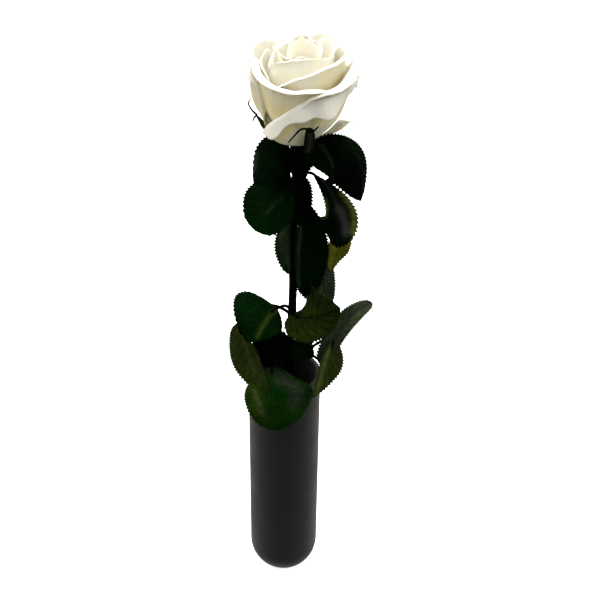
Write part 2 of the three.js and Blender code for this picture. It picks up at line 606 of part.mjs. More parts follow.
const rose = new THREE.Group();
rose.name = "rose_in_bud_vase";
rose.add(meshFrom("vase", makeVase(), colours.vase));
rose.add(meshFrom("leafy_stem", makeLeafyStem(), colours.leaf));
rose.add(meshFrom("bloom", makeBloom(), colours.petal));

export default rose;
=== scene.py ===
import math

import bmesh
import bpy
import numpy as np
from mathutils import Euler, Matrix, Vector, noise


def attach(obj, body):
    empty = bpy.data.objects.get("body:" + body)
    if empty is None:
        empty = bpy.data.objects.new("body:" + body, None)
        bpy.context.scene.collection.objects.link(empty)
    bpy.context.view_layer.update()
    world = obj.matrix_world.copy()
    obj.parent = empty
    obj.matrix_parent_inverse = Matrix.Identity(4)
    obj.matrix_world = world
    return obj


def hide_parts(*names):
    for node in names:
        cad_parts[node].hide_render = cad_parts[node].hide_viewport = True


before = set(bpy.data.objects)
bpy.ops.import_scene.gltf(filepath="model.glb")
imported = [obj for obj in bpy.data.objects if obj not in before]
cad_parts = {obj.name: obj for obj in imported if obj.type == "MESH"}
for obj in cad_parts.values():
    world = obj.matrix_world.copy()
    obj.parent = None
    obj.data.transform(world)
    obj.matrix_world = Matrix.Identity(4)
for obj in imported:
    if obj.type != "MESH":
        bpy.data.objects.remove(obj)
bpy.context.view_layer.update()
bpy.context.view_layer.update()

mm = 0.001  # the tables below are in millimetres, Blender works in metres


# Small helpers that several pieces share

def newObject(name, data):
    made = bpy.data.objects.new(name, data)
    bpy.context.collection.objects.link(made)
    return made


def meshObject(name, points, faces, material, attributes=None):
    # attributes hold one, three or four numbers per point
    kinds = {1: ("FLOAT", "value"), 3: ("FLOAT_VECTOR", "vector"), 4: ("FLOAT_COLOR", "color")}
    mesh = bpy.data.meshes.new(name)
    mesh.from_pydata((np.asarray(points) * mm).tolist(), [], faces)
    for key, values in (attributes or {}).items():
        values = np.asarray(values, np.float32)
        kind, field = kinds[values.size // len(points)]
        mesh.attributes.new(key, kind, "POINT").data.foreach_set(field, values.ravel())
    mesh.polygons.foreach_set("use_smooth", [True] * len(mesh.polygons))
    mesh.materials.append(material)
    mesh.update()
    return newObject(name, mesh)


def facingOut(piece):
    work = bmesh.new()
    work.from_mesh(piece.data)
    if work.calc_volume(signed=True) < 0:
        bmesh.ops.reverse_faces(work, faces=work.faces)
    work.to_mesh(piece.data)
    work.free()
    return piece


def sayTriangles(piece):
    print(piece.name + ":", sum(len(p.vertices) - 2 for p in piece.data.polygons), "triangles")


def smoothRow(rows, share):
    # Catmull-Rom line through rows of numbers; share is an array from 0 to 1
    rows = np.asarray(rows, float)
    last = len(rows) - 1
    place = np.clip(share, 0, 1) * last
    first = np.minimum(place.astype(int), last - 1)
    f = (place - first)[:, None]
    padded = np.vstack([2 * rows[0] - rows[1], rows, 2 * rows[-1] - rows[-2]])
    a, b, c, d = padded[first], padded[first + 1], padded[first + 2], padded[first + 3]
    square = 2 * a - 5 * b + 4 * c - d
    cube = 3 * b - a - 3 * c + d
    return 0.5 * (2 * b + (c - a) * f + square * f ** 2 + cube * f ** 3)


def smoothPath(points, count):
    # evenly spaced places on a centripetal curve through the points
    points = np.asarray(points, float)
    padded = np.vstack([2 * points[0] - points[1], points, 2 * points[-1] - points[-2]])
    fine = []
    for i in range(1, len(padded) - 2):
        p0, p1, p2, p3 = padded[i - 1:i + 3]
        pairs = ((p0, p1), (p1, p2), (p2, p3))
        d0, d1, d2 = (max(np.linalg.norm(b - a) ** 0.5, 1e-4) for a, b in pairs)
        t1 = ((p1 - p0) / d0 - (p2 - p0) / (d0 + d1) + (p2 - p1) / d1) * d1
        t2 = ((p2 - p1) / d1 - (p3 - p1) / (d1 + d2) + (p3 - p2) / d2) * d1
        u = np.linspace(0, 1, 24, endpoint=False)[:, None]
        square = -3 * p1 + 3 * p2 - 2 * t1 - t2
        cube = 2 * p1 - 2 * p2 + t1 + t2
        fine.append(p1 + t1 * u + square * u ** 2 + cube * u ** 3)
    fine = np.vstack(fine + [points[-1:]])
    way = np.concatenate([[0], np.cumsum(np.linalg.norm(np.diff(fine, axis=0), axis=1))])
    even = np.linspace(0, way[-1], count)
    return np.stack([np.interp(even, way, fine[:, k]) for k in range(3)], 1)


def ringedFaces(rings, count):
    # faces of a closed round form: a pole, then rings of count points, then the other pole
    faces = []
    for i in range(count):
        n = (i + 1) % count
        faces.append((0, 1 + n, 1 + i))
        for ring in range(rings - 1):
            a = 1 + ring * count
            faces.append((a + i, a + n, a + count + n, a + count + i))
        a = 1 + (rings - 1) * count
        faces.append((a + i, a + n, a + count))
    return faces


def sheetFaces(columns, rows):
    # a closed thin sheet: front grid, back grid and the wall round the rim
    def at(side, i, j):
        return side * columns * rows + i * rows + j
    faces = []
    for i in range(columns - 1):
        for j in range(rows - 1):
            faces.append((at(0, i, j), at(0, i + 1, j), at(0, i + 1, j + 1), at(0, i, j + 1)))
            faces.append((at(1, i, j), at(1, i, j + 1), at(1, i + 1, j + 1), at(1, i + 1, j)))
    rim = [(i, 0) for i in range(columns)] + [(columns - 1, j) for j in range(1, rows)]
    rim += [(i, rows - 1) for i in range(columns - 2, -1, -1)] + [(0, j) for j in range(rows - 2, 0, -1)]
    for k, (i, j) in enumerate(rim):
        m, n = rim[(k + 1) % len(rim)]
        faces.append((at(0, m, n), at(0, i, j), at(1, i, j), at(1, m, n)))
    return faces


def turnedForm(profile, turns, low, high):
    # points and faces of a profile of (radius, height) turned round the upright axis
    points = [low] + [(r * math.cos(t), r * math.sin(t), z) for r, z in profile for t in turns] + [high]
    return points, ringedFaces(len(profile), len(turns))


def thinSheet(grid, facing, half, attributes):
    points = np.vstack([(grid + facing * half).reshape(-1, 3), (grid - facing * half).reshape(-1, 3)])
    return points, sheetFaces(*grid.shape[:2]), attributes


def gridNormals(grid):
    across = np.gradient(grid, axis=0)
    up = np.gradient(grid, axis=1)
    normal = np.cross(across, up)
    length = np.linalg.norm(normal, axis=2, keepdims=True)
    return normal / np.maximum(length, 1e-9)


def joinedSheets(name, sheets, material):
    # one mesh from many closed sheets, each with its own points, faces and attributes
    points, faces, attributes = zip(*sheets)
    starts = np.cumsum([0] + [len(p) for p in points]).tolist()
    moved = [tuple(start + k for k in face) for start, group in zip(starts, faces) for face in group]
    joined = {key: np.concatenate([own[key] for own in attributes]) for key in attributes[0]}
    return meshObject(name, np.vstack(points), moved, material, joined)


class NodeBench:
    # short words for building a tree of nodes; each gives the sockets that come out
    def __init__(self, tree, owner=None):
        self.nodes, self.links, self.owner = tree.nodes, tree.links, owner

    def put(self, socket, value):
        if isinstance(value, bpy.types.NodeSocket):
            self.links.new(value, socket)
        elif isinstance(value, tuple) and len(value) == 3 and socket.type == "RGBA":
            socket.default_value = (*value, 1)
        else:
            socket.default_value = value

    def add(self, kind, values=None, **traits):
        node = self.nodes.new(kind if "Node" in kind else "ShaderNode" + kind)
        for key, value in traits.items():
            setattr(node, key, value)
        for key, value in (values or {}).items():
            self.put(node.inputs[key], value)
        return node.outputs

    def math(self, kind, a, b=0.0):
        return self.add("Math", {0: a, 1: b}, operation=kind)[0]

    def times(self, a, b):
        return self.math("MULTIPLY", a, b)

    def plus(self, a, b):
        return self.math("ADD", a, b)

    def minus(self, a, b):
        return self.math("SUBTRACT", a, b)

    def ramp(self, value, low, high, start=0.0, end=1.0, shape="SMOOTHSTEP"):
        values = {"Value": value, "From Min": low, "From Max": high, "To Min": start, "To Max": end}
        return self.add("MapRange", values, interpolation_type=shape)["Result"]

    def mix(self, share, a, b, blend="MIX"):
        # inputs 6 and 7 and output 2 are this node's colours
        return self.add("Mix", {0: share, 6: a, 7: b}, data_type="RGBA", blend_type=blend)[2]

    def tint(self, share, colour, by):
        # multiplies a colour by another, as far as the share says
        return self.mix(share, colour, self.mix(1.0, colour, by, "MULTIPLY"))

    def own(self, name, output="Fac"):
        return self.add("Attribute", attribute_name=name)[output]

    def split(self, value):
        return self.add("SeparateXYZ", {0: value})

    def stretched(self, axes, ratios):
        # a place whose axes are scaled apart, for streaks
        scaled = [self.times(axis, ratio) for axis, ratio in zip(axes, ratios)]
        return self.add("CombineXYZ", dict(enumerate(scaled)))[0]

    def place(self, kind="Object"):
        return self.add("TexCoord")[kind]

    def noise(self, where, scale, detail=3.0, roughness=0.5):
        values = {"Vector": where, "Scale": scale, "Detail": detail, "Roughness": roughness}
        return self.add("TexNoise", values)["Fac"]

    def cells(self, where, scale):
        values = {"Vector": where, "Scale": scale}
        return self.add("TexVoronoi", values, feature="DISTANCE_TO_EDGE")["Distance"]

    def bump(self, height, distance, strength, **under):
        values = {"Height": height, "Distance": distance, "Strength": strength, **under}
        return self.add("Bump", values)["Normal"]

    def finish(self, colour, roughness, **others):
        values = {"Base Color": colour, "Roughness": roughness, **others}
        for key, value in values.items():
            self.put(self.nodes["Principled BSDF"].inputs[key], value)
        return self.owner


def newBench(name, kind=bpy.data.materials):
    owner = kind.new(name)
    owner.use_nodes = True
    return NodeBench(owner.node_tree, owner)


# Camera, lights and floor

cameraSettings = {
    "place": (0.010, -0.6406, 0.6882),
    "tiltDown": 35.0,
    "roll": 0.85,
    "lens": 70.68,
    "sensor": 36.0,
    "nearest": 0.01,
}

lightSettings = {
    "worldTint": (1.0, 0.99, 0.97),
    "worldLevels": (0.70, 1.06),  # the room's light from below and from above
    "worldHorizon": (-0.35, 0.5),  # heights between which the room turns from below to above
    "worldFront": 0.48,  # share of the room's light that is left on the camera's side
    "worldTurn": (-0.7, 0.35),  # places from front to back between which it rises to all of it
    "key": {"place": (-0.85, -0.25, 1.35), "size": 0.9, "power": 5.0, "tint": (1.0, 0.99, 0.97)},
    "fill": {"place": (0.95, -0.30, 1.05), "size": 0.8, "power": 3.2, "tint": (0.97, 0.98, 1.0)},
    "top": {"place": (0.05, 0.22, 1.5), "size": 0.7, "power": 14.0, "tint": (1.0, 1.0, 1.0)},
    "crown": {"place": (0.02, -0.02, 1.0), "size": 0.25, "power": 2.0, "tint": (1.0, 0.985, 0.95)},
    "leftEdge": {"place": (-0.75, 0.35, 0.35), "size": 0.6, "power": 1.2, "tint": (1.0, 1.0, 1.0)},
    "rightEdge": {"place": (0.75, 0.35, 0.35), "size": 0.6, "power": 1.2, "tint": (1.0, 1.0, 1.0)},
    "aim": (0.005, 0.0, 0.24),
}

floorSettings = {
    "reach": 6000.0,
    "colour": (0.93, 0.93, 0.93),
    "glow": 0.75,
    "roughness": 0.9,
    "gloss": 0.1,
}


def makeCamera(settings):
    data = bpy.data.cameras.new("camera")
    data.lens = settings["lens"]
    data.sensor_width = settings["sensor"]
    data.clip_start = settings["nearest"]
    camera = newObject("camera", data)
    camera.location = settings["place"]
    tilt = Euler((math.radians(90 - settings["tiltDown"]), 0, 0)).to_matrix()
    roll = Matrix.Rotation(math.radians(settings["roll"]), 3, "Z")
    camera.rotation_euler = (tilt @ roll).to_euler()
    bpy.context.scene.camera = camera


def makeSoftLight(name, settings, aim):
    data = bpy.data.lights.new(name, "AREA")
    data.energy = settings["power"]
    data.size = settings["size"]
    data.color = settings["tint"]
    light = newObject(name, data)
    light.location = settings["place"]
    light.rotation_euler = (Vector(aim) - Vector(settings["place"])).to_track_quat("-Z", "Y").to_euler()


def makeWorld(settings):
    bench = newBench("studio", bpy.data.worlds)
    bpy.context.scene.world = bench.owner
    _, depth, height = bench.split(bench.place("Generated"))
    level = bench.ramp(height, *settings["worldHorizon"], *settings["worldLevels"], "LINEAR")
    share = bench.ramp(depth, *settings["worldTurn"], settings["worldFront"], 1.0, "LINEAR")
    background = bench.nodes["Background"].inputs
    bench.put(background["Color"], settings["worldTint"])
    bench.put(background["Strength"], bench.times(level, share))


def makeFloor(settings):
    paper = newBench("pale_paper").finish(settings["colour"], settings["roughness"], **{
        "Specular IOR Level": settings["gloss"],
        "Emission Color": (1.0, 1.0, 1.0),
        "Emission Strength": settings["glow"],
    })
    reach = settings["reach"]
    corners = [(-reach, -reach, 0), (reach, -reach, 0), (reach, reach, 0), (-reach, reach, 0)]
    floor = meshObject("floor", corners, [(0, 1, 2, 3)], paper)
    floor.visible_diffuse = False  # the paper's glow doesn't light the object
    floor.visible_glossy = False


makeCamera(cameraSettings)
makeWorld(lightSettings)
for lightName in ("key", "fill", "top", "crown", "leftEdge", "rightEdge"):
    makeSoftLight(lightName, lightSettings[lightName], lightSettings["aim"])
makeFloor(floorSettings)
bpy.context.scene.view_settings.view_transform = "Standard"
print("camera, lights and floor are set")


# Tubes that follow a path: stem, stalks, sepal tails and leaf veins

def makeTubeTree():
    tree = bpy.data.node_groups.new("tube_along_paths", "GeometryNodeTree")
    inputs = {
        "path": ("Geometry", "Geometry", None),
        "sides": ("Sides", "Int", 12),
        "scale": ("Thickness Scale", "Float", 1.0),
        "bumps": ("Bump Height", "Float", 0.0),
        "grain": ("Bump Grain", "Float", 400.0),
        "skin": ("Skin", "Material", None),
    }
    sockets = {}
    for key, (label, kind, value) in inputs.items():
        socket = tree.interface.new_socket(name=label, in_out="INPUT", socket_type="NodeSocket" + kind)
        if value is not None:
            socket.default_value = value
        sockets[key] = socket.identifier
    tree.interface.new_socket(name="Geometry", in_out="OUTPUT", socket_type="NodeSocketGeometry")
    bench = NodeBench(tree)
    start = bench.add("NodeGroupInput")
    # a circle swept along the path, as thick as each point's own thickness
    curve = bench.add("GeometryNodeMeshToCurve", {"Mesh": start["Geometry"]})[0]
    own = bench.add("GeometryNodeInputNamedAttribute", {"Name": "thickness"}, data_type="FLOAT")
    width = bench.times(own["Attribute"], start["Thickness Scale"])
    curve = bench.add("GeometryNodeSetCurveRadius", {"Curve": curve, "Radius": width})[0]
    circle = bench.add("GeometryNodeCurvePrimitiveCircle", {"Resolution": start["Sides"], "Radius": 1.0})[0]
    sweep = {"Curve": curve, "Profile Curve": circle, "Fill Caps": True}
    tube = bench.add("GeometryNodeCurveToMesh", sweep)[0]
    if "Scale" in tube.node.inputs:
        bench.put(tube.node.inputs["Scale"], width)  # where the release takes the thickness here
    # small bumps along the normal, then smooth shading and the skin
    lumps = bench.add("TexNoise", {"Scale": start["Bump Grain"], "Detail": 2.0})[0]
    height = bench.times(bench.minus(lumps, 0.5), start["Bump Height"])
    normal = bench.add("GeometryNodeInputNormal")[0]
    push = bench.add("VectorMath", {0: normal, "Scale": height}, operation="SCALE")[0]
    tube = bench.add("GeometryNodeSetPosition", {"Geometry": tube, "Offset": push})[0]
    tube = bench.add("GeometryNodeSetShadeSmooth", {"Geometry": tube})[0]
    tube = bench.add("GeometryNodeRealizeInstances", {"Geometry": tube})[0]
    tube = bench.add("GeometryNodeSetMaterial", {"Geometry": tube, "Material": start["Skin"]})[0]
    bench.add("NodeGroupOutput", {"Geometry": tube})
    return tree, sockets


tubeTree, tubeSockets = makeTubeTree()


def tubesAlong(name, paths, values, material):
    # paths is a list of (points in mm, thickness in mm at each point)
    points, edges, thickness = [], [], []
    for line, widths in paths:
        first = len(points)
        points += [tuple(p) for p in np.asarray(line) * mm]
        thickness += list(np.asarray(widths) * mm)
        edges += [(first + i, first + i + 1) for i in range(len(line) - 1)]
    wire = bpy.data.meshes.new(name + "_paths")
    wire.from_pydata(points, edges, [])
    wire.attributes.new("thickness", "FLOAT", "POINT").data.foreach_set("value", thickness)
    holder = newObject(name + "_paths", wire)
    modifier = holder.modifiers.new("tubes", "NODES")
    modifier.node_group = tubeTree
    for key, value in values.items():
        modifier[tubeSockets[key]] = value
    modifier[tubeSockets["skin"]] = material
    bpy.context.view_layer.update()
    evaluated = holder.evaluated_get(bpy.context.evaluated_depsgraph_get())
    mesh = bpy.data.meshes.new_from_object(evaluated)
    holder.modifiers.remove(modifier)
    bpy.data.objects.remove(holder)
    mesh.name = name
    return facingOut(newObject(name, mesh))


# Vase

vaseSettings = {
    "radius": 25.0,
    "height": 180.0,
    "wall": 2.8,
    "footRadius": 17.0,
    "floor": 7.0,
    "lipRound": 1.2,
    "segments": 144,
    "glaze": (0.0044, 0.0062, 0.0060),
    "glazeWarm": (0.0062, 0.0066, 0.0062),
    "roughness": 0.46,
    "roughnessSpread": 0.05,
    "grain": 0.00004,  # depth of the glaze's fine grain, in metres
}


def glazeMaterial(settings):
    bench = newBench("matte_black_glaze")
    where = bench.place()
    cloud = bench.noise(where, 18, 4)
    speck = bench.noise(where, 900, 2, 0.6)
    colour = bench.mix(bench.ramp(cloud, 0.35, 0.65), settings["glaze"], settings["glazeWarm"])
    middle, spread = settings["roughness"], settings["roughnessSpread"]
    roughness = bench.ramp(bench.noise(where, 60, 3), 0.3, 0.7, middle - spread, middle + spread)
    grain = bench.plus(speck, bench.times(bench.noise(where, 120, 2), 1.5))
    normal = bench.bump(grain, settings["grain"], 0.6)
    return bench.finish(colour, roughness, Normal=normal, **{
        "Specular IOR Level": 0.2,
        "Sheen Weight": 0.06,
        "Sheen Roughness": 0.45,
    })


def roundCorner(radius, centre, height, start, end, steps):
    angles = np.radians(np.linspace(start, end, steps + 1))
    return [(centre + radius * math.cos(a), height + radius * math.sin(a)) for a in angles]


def makeVase(settings):
    radius, foot = settings["radius"], settings["footRadius"]
    inner = radius - settings["wall"]
    lip = settings["height"] - settings["lipRound"]
    dome = math.sqrt(radius ** 2 - foot ** 2)
    low = -math.degrees(math.asin(dome / radius))
    profile = [(foot * 0.5, 0.0), (foot - 0.6, 0.0)]
    profile += roundCorner(radius, 0, dome, low + 1.2, 0, 22)  # the foot's edge is softened
    profile += [(radius, z) for z in np.linspace(dome, lip, 14)[1:-1]]
    profile += roundCorner(settings["lipRound"], radius - settings["lipRound"], lip, 0, 90, 7)
    profile += roundCorner(settings["lipRound"], inner + settings["lipRound"], lip, 90, 180, 7)[1:]
    profile += [(inner, z) for z in np.linspace(lip, settings["floor"] + inner, 12)[1:-1]]
    profile += roundCorner(inner, 0, settings["floor"] + inner, 0, -84, 16)
    count = settings["segments"]
    turns = 2 * np.pi * np.arange(count) / count
    points, faces = turnedForm(profile, turns, (0, 0, 0), (0, 0, settings["floor"]))
    vase = facingOut(meshObject("vase_body", points, faces, glazeMaterial(settings)))
    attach(vase, "root")
    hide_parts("vase")
    sayTriangles(vase)


makeVase(vaseSettings)


# Flower: the same rims as the solid's petals, drawn finer

flowerBase = np.array([8.0, 0.0, 357.0])

petalSettings = {
    "thickness": 0.34,
    "columnTurn": 3.4,  # degrees from one column of a petal to the next
    "fewestColumns": 22,
    "wallRows": 24,
    "lipRows": 15,
    "shoulder": 5.0,
    "shoulderReach": 0.14,
    "rootSqueeze": 0.6,
    "footReach": 0.3,
    "footRise": 0.2,
    "bellyRise": 0.45,
    "ruffle": 0.6,
    "nicks": 0.5,  # how far the rim wanders up and down
    "coreProfile": [(4.6, 0.1), (6.0, 1.6), (6.4, 5), (6.2, 20), (6.0, 40), (5.0, 48)],
    "coreEnds": (0.1, 50.5),
    "heartEdge": (0.004, 0.011),  # distances from the axis, in metres, between which a tone fades
    "innerEdge": (0.0195, 0.0235),
    "outerEdge": (0.0215, 0.0255),
    "bowlEdge": (0.0225, 0.0265),
    "frontEdge": (-0.012, -0.002),  # places from front to back between which the painted shade fades
    "bowlTop": (0.366, 0.377),  # heights between which the bowl's shade fades
    "frontShade": (0.80, 0.79, 0.755),  # painted shade on the outer petals at the front
    "bowl": (0.66, 0.67, 0.52),  # shades the bowl under the front flap
    "white": (0.97, 0.955, 0.88),
    "innerWhite": (0.99, 0.965, 0.87),
    "cream": (0.965, 0.93, 0.79),
    "depth": (0.96, 0.86, 0.52),
    "back": (0.93, 0.82, 0.42),
    "heart": (0.96, 0.86, 0.60),
    "innerRim": (0.84, 0.79, 0.62),
    "stain": (0.62, 0.54, 0.34),
    "thread": (0.44, 0.34, 0.19),
    "cloud": (0.80, 0.72, 0.50),
    "roughness": 0.62,
}


# the last value is the petal's own share of painted shade, which also raises its stains and threads
def petal(start, belly, curl, rim, flap=(0, 0), wear=0.0):
    return {"start": start, "belly": belly, "curl": curl, "rim": rim, "flap": flap, "wear": wear}


# from the tight heart outwards: the root's radius, how far the wall swells past the rim, the radius
# and turn of the rolled edge, and the rim as azimuth (-90 is the front), radius and height about the base
petals = {
    "heart front": petal(1, 1, (1, 20), [(-170, 5, 49), (-120, 5.5, 50), (-70, 5.5, 50), (-20, 5, 49)]),
    "heart back": petal(1, 1, (1, 20), [(0, 5, 50), (50, 5.5, 52), (110, 5, 52), (160, 5, 50)]),
    "bud back": petal(2, 1, (1, 25), [
        (187, 7.5, 58), (153, 7, 61), (118, 7.5, 64), (84, 8, 64.5), (55, 9.5, 63), (27, 11, 61),
        (0, 12, 58)]),
    "bud front": petal(2, 1, (1, 30), [(-172, 8, 56), (-126, 7, 55), (-80, 8, 56), (-40, 10, 57)]),
    "inner front": petal(3, 2, (1.4, 90), [
        (-171, 18, 48), (-154, 17.5, 52), (-126, 15, 55.5), (-90, 14, 57.5), (-57, 15.5, 58),
        (-29, 18.5, 57), (-5, 19, 56)]),
    "inner left": petal(3, 2, (1.2, 60), [
        (-155, 18.5, 46), (-177, 17.5, 52), (-191, 15.5, 54.5), (-211, 14, 56.5), (-234, 12.5, 58),
        (-262, 12, 58)]),
    "inner low": petal(3, 1, (1, 40), [
        (150, 19.5, 58), (164, 14, 56), (180, 10, 54.5), (234, 6.5, 54.5), (309, 9, 56)]),
    "inner right": petal(3, 2, (1.2, 50), [
        (-34, 14.5, 57.5), (-14, 16.5, 55), (6, 19.5, 57), (22, 21, 59), (38, 21, 60.5), (60, 19, 60)]),
    "inner back": petal(3, 2, (1.2, 50), [(30, 15, 57), (60, 14, 58), (95, 14, 58), (130, 15, 56)]),
    "middle front": petal(4, 3, (2.0, 140), [
        (-127, 22.5, 45), (-102, 21.5, 48), (-82, 21, 50.5), (-62, 21.5, 53.5), (-41, 23, 55.5),
        (-21, 24.5, 56.5), (-7, 26, 57.5), (14, 24.5, 58), (31, 22, 57)]),
    "middle left": petal(4, 3, (1.3, 60), [
        (-140, 22, 46), (-165, 22.5, 50), (-190, 22, 53), (-215, 21, 55)]),
    "back right": petal(4, 3, (1.3, 70), [
        (80, 20, 57), (66, 24, 58.5), (52, 25.5, 59), (39, 25, 58.5), (27, 26, 54), (14, 25, 50)]),
    "middle back": petal(4, 3, (1.3, 70), [(70, 19, 55), (95, 20, 55), (120, 20, 54), (150, 20, 53)]),
    "cup front": petal(5, 4, (2.4, 165), [
        (-176, 24.3, 57.4), (-158, 24.6, 49), (-141, 24.6, 45.8), (-125, 24.8, 44), (-108, 25.2, 43.4),
        (-88, 25, 43.2), (-70, 25.8, 43.5), (-50, 26.5, 45)]),
    "cup left": petal(5, 4, (1.5, 60), [
        (192, 27, 54.5), (177, 27.3, 56.8), (162, 27.6, 57.6), (146, 27.4, 57), (130, 27.2, 55.8),
        (117, 26.8, 53.2), (105, 26, 50)]),
    "cup back": petal(5, 4, (1.8, 130), [(130, 25, 50), (105, 26, 51), (80, 26, 51), (55, 26, 50)]),
    "outer upper": petal(5.5, 2.5, (2.1, 150), [
        (-90, 25.5, 38), (-76, 25.6, 40), (-62, 26.6, 42.3), (-45, 27.4, 43), (-32, 27.2, 44),
        (-20, 28.5, 47.2), (-10, 30, 50.5), (-2, 31.4, 53.4), (8, 28, 51)],
        flap=(0.5, 0.5, 1, 1.5, 2, 3, 2.5, 1, 0.5)),
    "outer front": petal(5.5, 0.5, (2.2, 165), [
        (-136, 25, 21), (-117, 25, 25), (-102, 24.5, 31), (-82, 24, 36.5), (-63, 25.6, 38),
        (-43, 26.8, 38.2), (-27, 27.4, 39.5), (-17, 28, 41.5), (-6, 29.4, 42.5), (4, 28, 39)],
        flap=(2, 9, 6.5, 7.5, 9.5, 7, 2.5, 1.5, 1, 1)),
    # the outer left petal carries painted shade, and with it more stains and threads
    "outer left": petal(5.5, 5.5, (1.8, 140), [
        (-146, 23.5, 32), (-157, 25.5, 40), (-169, 27.6, 45), (-180, 28, 46.5), (-190, 28, 47),
        (-200, 28, 45), (-210, 27.5, 41)], flap=(0, 0.5, 4, 8.5, 7, 1, 0), wear=0.9),
    "outer back": petal(5.5, 4, (2, 150), [
        (150, 27, 42), (125, 28, 44), (95, 29, 45), (65, 29, 45), (35, 28, 43)], flap=(2, 5, 8, 8, 4)),
    "outer right": petal(5.5, -1, (2, 140), [
        (50, 26, 43), (30, 28, 45), (10, 29, 46), (-8, 28, 43)], flap=(2, 4, 4, 2)),
    "guard front": petal(5, 1, (3, 10), [
        (-140, 14, 13), (-115, 14, 15), (-90, 14, 15), (-65, 14, 15), (-45, 14, 13)]),
    "guard right": petal(4, -6, (4, 90), [
        (-12, 21, 17.6), (-8.5, 26, 14.4), (-4, 29.3, 13.8), (0, 26.5, 13.6), (4, 21, 13.2)]),
    "guard left": petal(5, 1, (3, 10), [(-140, 16, 14), (-160, 20, 19), (-180, 21, 21), (-205, 20, 18)]),
    "guard back": petal(6, 1, (3, 60), [(140, 22, 16), (110, 27, 20), (80, 28, 21), (50, 24, 16)]),
}
innerPetalCount = 13  # the first rows of the table stand inside the cup


def petalSheet(petal, index, settings):
    rim = np.asarray(petal["rim"], float)
    turn = abs(rim[-1, 0] - rim[0, 0])
    columns = max(int(turn / settings["columnTurn"]), settings["fewestColumns"])
    share = np.linspace(0, 1, columns)
    line = smoothRow(rim, share)
    flap = smoothRow([[length] for length in petal["flap"]], share)[:, 0]
    start, curlRadius, curlTurn = petal["start"], petal["curl"][0], math.radians(petal["curl"][1])
    middle = (rim[0, 0] + rim[-1, 0]) / 2
    edge = np.clip(1 - np.minimum(share, 1 - share) / settings["shoulderReach"], 0, 1)
    wallRows, lipRows = settings["wallRows"], settings["lipRows"]
    rows = wallRows + lipRows
    grid = np.zeros((columns, rows, 3))
    heights = np.linspace(0, 1, rows)

    def waveUp(x, fineness, seed):
        return np.array([noise.noise(Vector((x, t * fineness, seed))) for t in heights])

    for i in range(columns):
        azimuth, rimRadius, rimHeight = line[i]
        nick = noise.noise(Vector((share[i] * turn * 0.07, 0.5, index * 5.1)))
        top = rimHeight - settings["shoulder"] * edge[i] ** 2 + settings["nicks"] * nick
        handles = np.array([
            (start, 0),
            (start + (rimRadius - start) * settings["footReach"], settings["footRise"] * top),
            (rimRadius + petal["belly"], settings["bellyRise"] * top),
            (rimRadius, top),
        ])
        u = np.linspace(0, 1, wallRows)[:, None]
        wall = ((1 - u) ** 3 * handles[0] + 3 * u * (1 - u) ** 2 * handles[1]
                + 3 * u ** 2 * (1 - u) * handles[2] + u ** 3 * handles[3])
        lean = math.atan2(-petal["belly"], (1 - settings["bellyRise"]) * top)
        curlLength = curlRadius * (1 + 0.3 * nick) * curlTurn
        step = (curlLength + flap[i] * (1 + 0.5 * nick)) / lipRows
        angle = lean + curlTurn * np.minimum((np.arange(lipRows) + 0.5) * step / curlLength, 1)
        lip = wall[-1] + np.cumsum(np.stack([np.sin(angle), np.cos(angle)], 1) * step, axis=0)
        whole = np.vstack([wall, lip])
        up = np.concatenate([u[:, 0], np.ones(lipRows)])
        ease = up * up * (3 - 2 * up)
        root = middle + (azimuth - middle) * settings["rootSqueeze"]
        turnHere = np.radians(root + (azimuth - root) * ease)
        wave = waveUp(share[i] * turn * 0.045, 2.2, index * 7.3)
        wave += 0.35 * waveUp(share[i] * turn * 0.16, 5.0, index * 3.7)
        whole[:, 0] += wave * settings["ruffle"] * heights ** 1.5 * 2
        out, high = whole.T
        grid[i] = np.stack([out * np.cos(turnHere), out * np.sin(turnHere), high], 1)
    grid += flowerBase
    rise, across = np.meshgrid(heights, share * turn / 60)
    where = np.stack([across, rise, np.full(rise.shape, index * 3.1)], 2).reshape(-1, 3)
    outside = np.repeat([1.0, 0.0] if rim[-1, 0] > rim[0, 0] else [0.0, 1.0], columns * rows)
    return thinSheet(grid, gridNormals(grid), settings["thickness"] / 2, {
        "petalPlace": np.vstack([where, where]),
        "petalBack": outside,
        "petalWear": np.full(len(outside), petal["wear"]),
    })


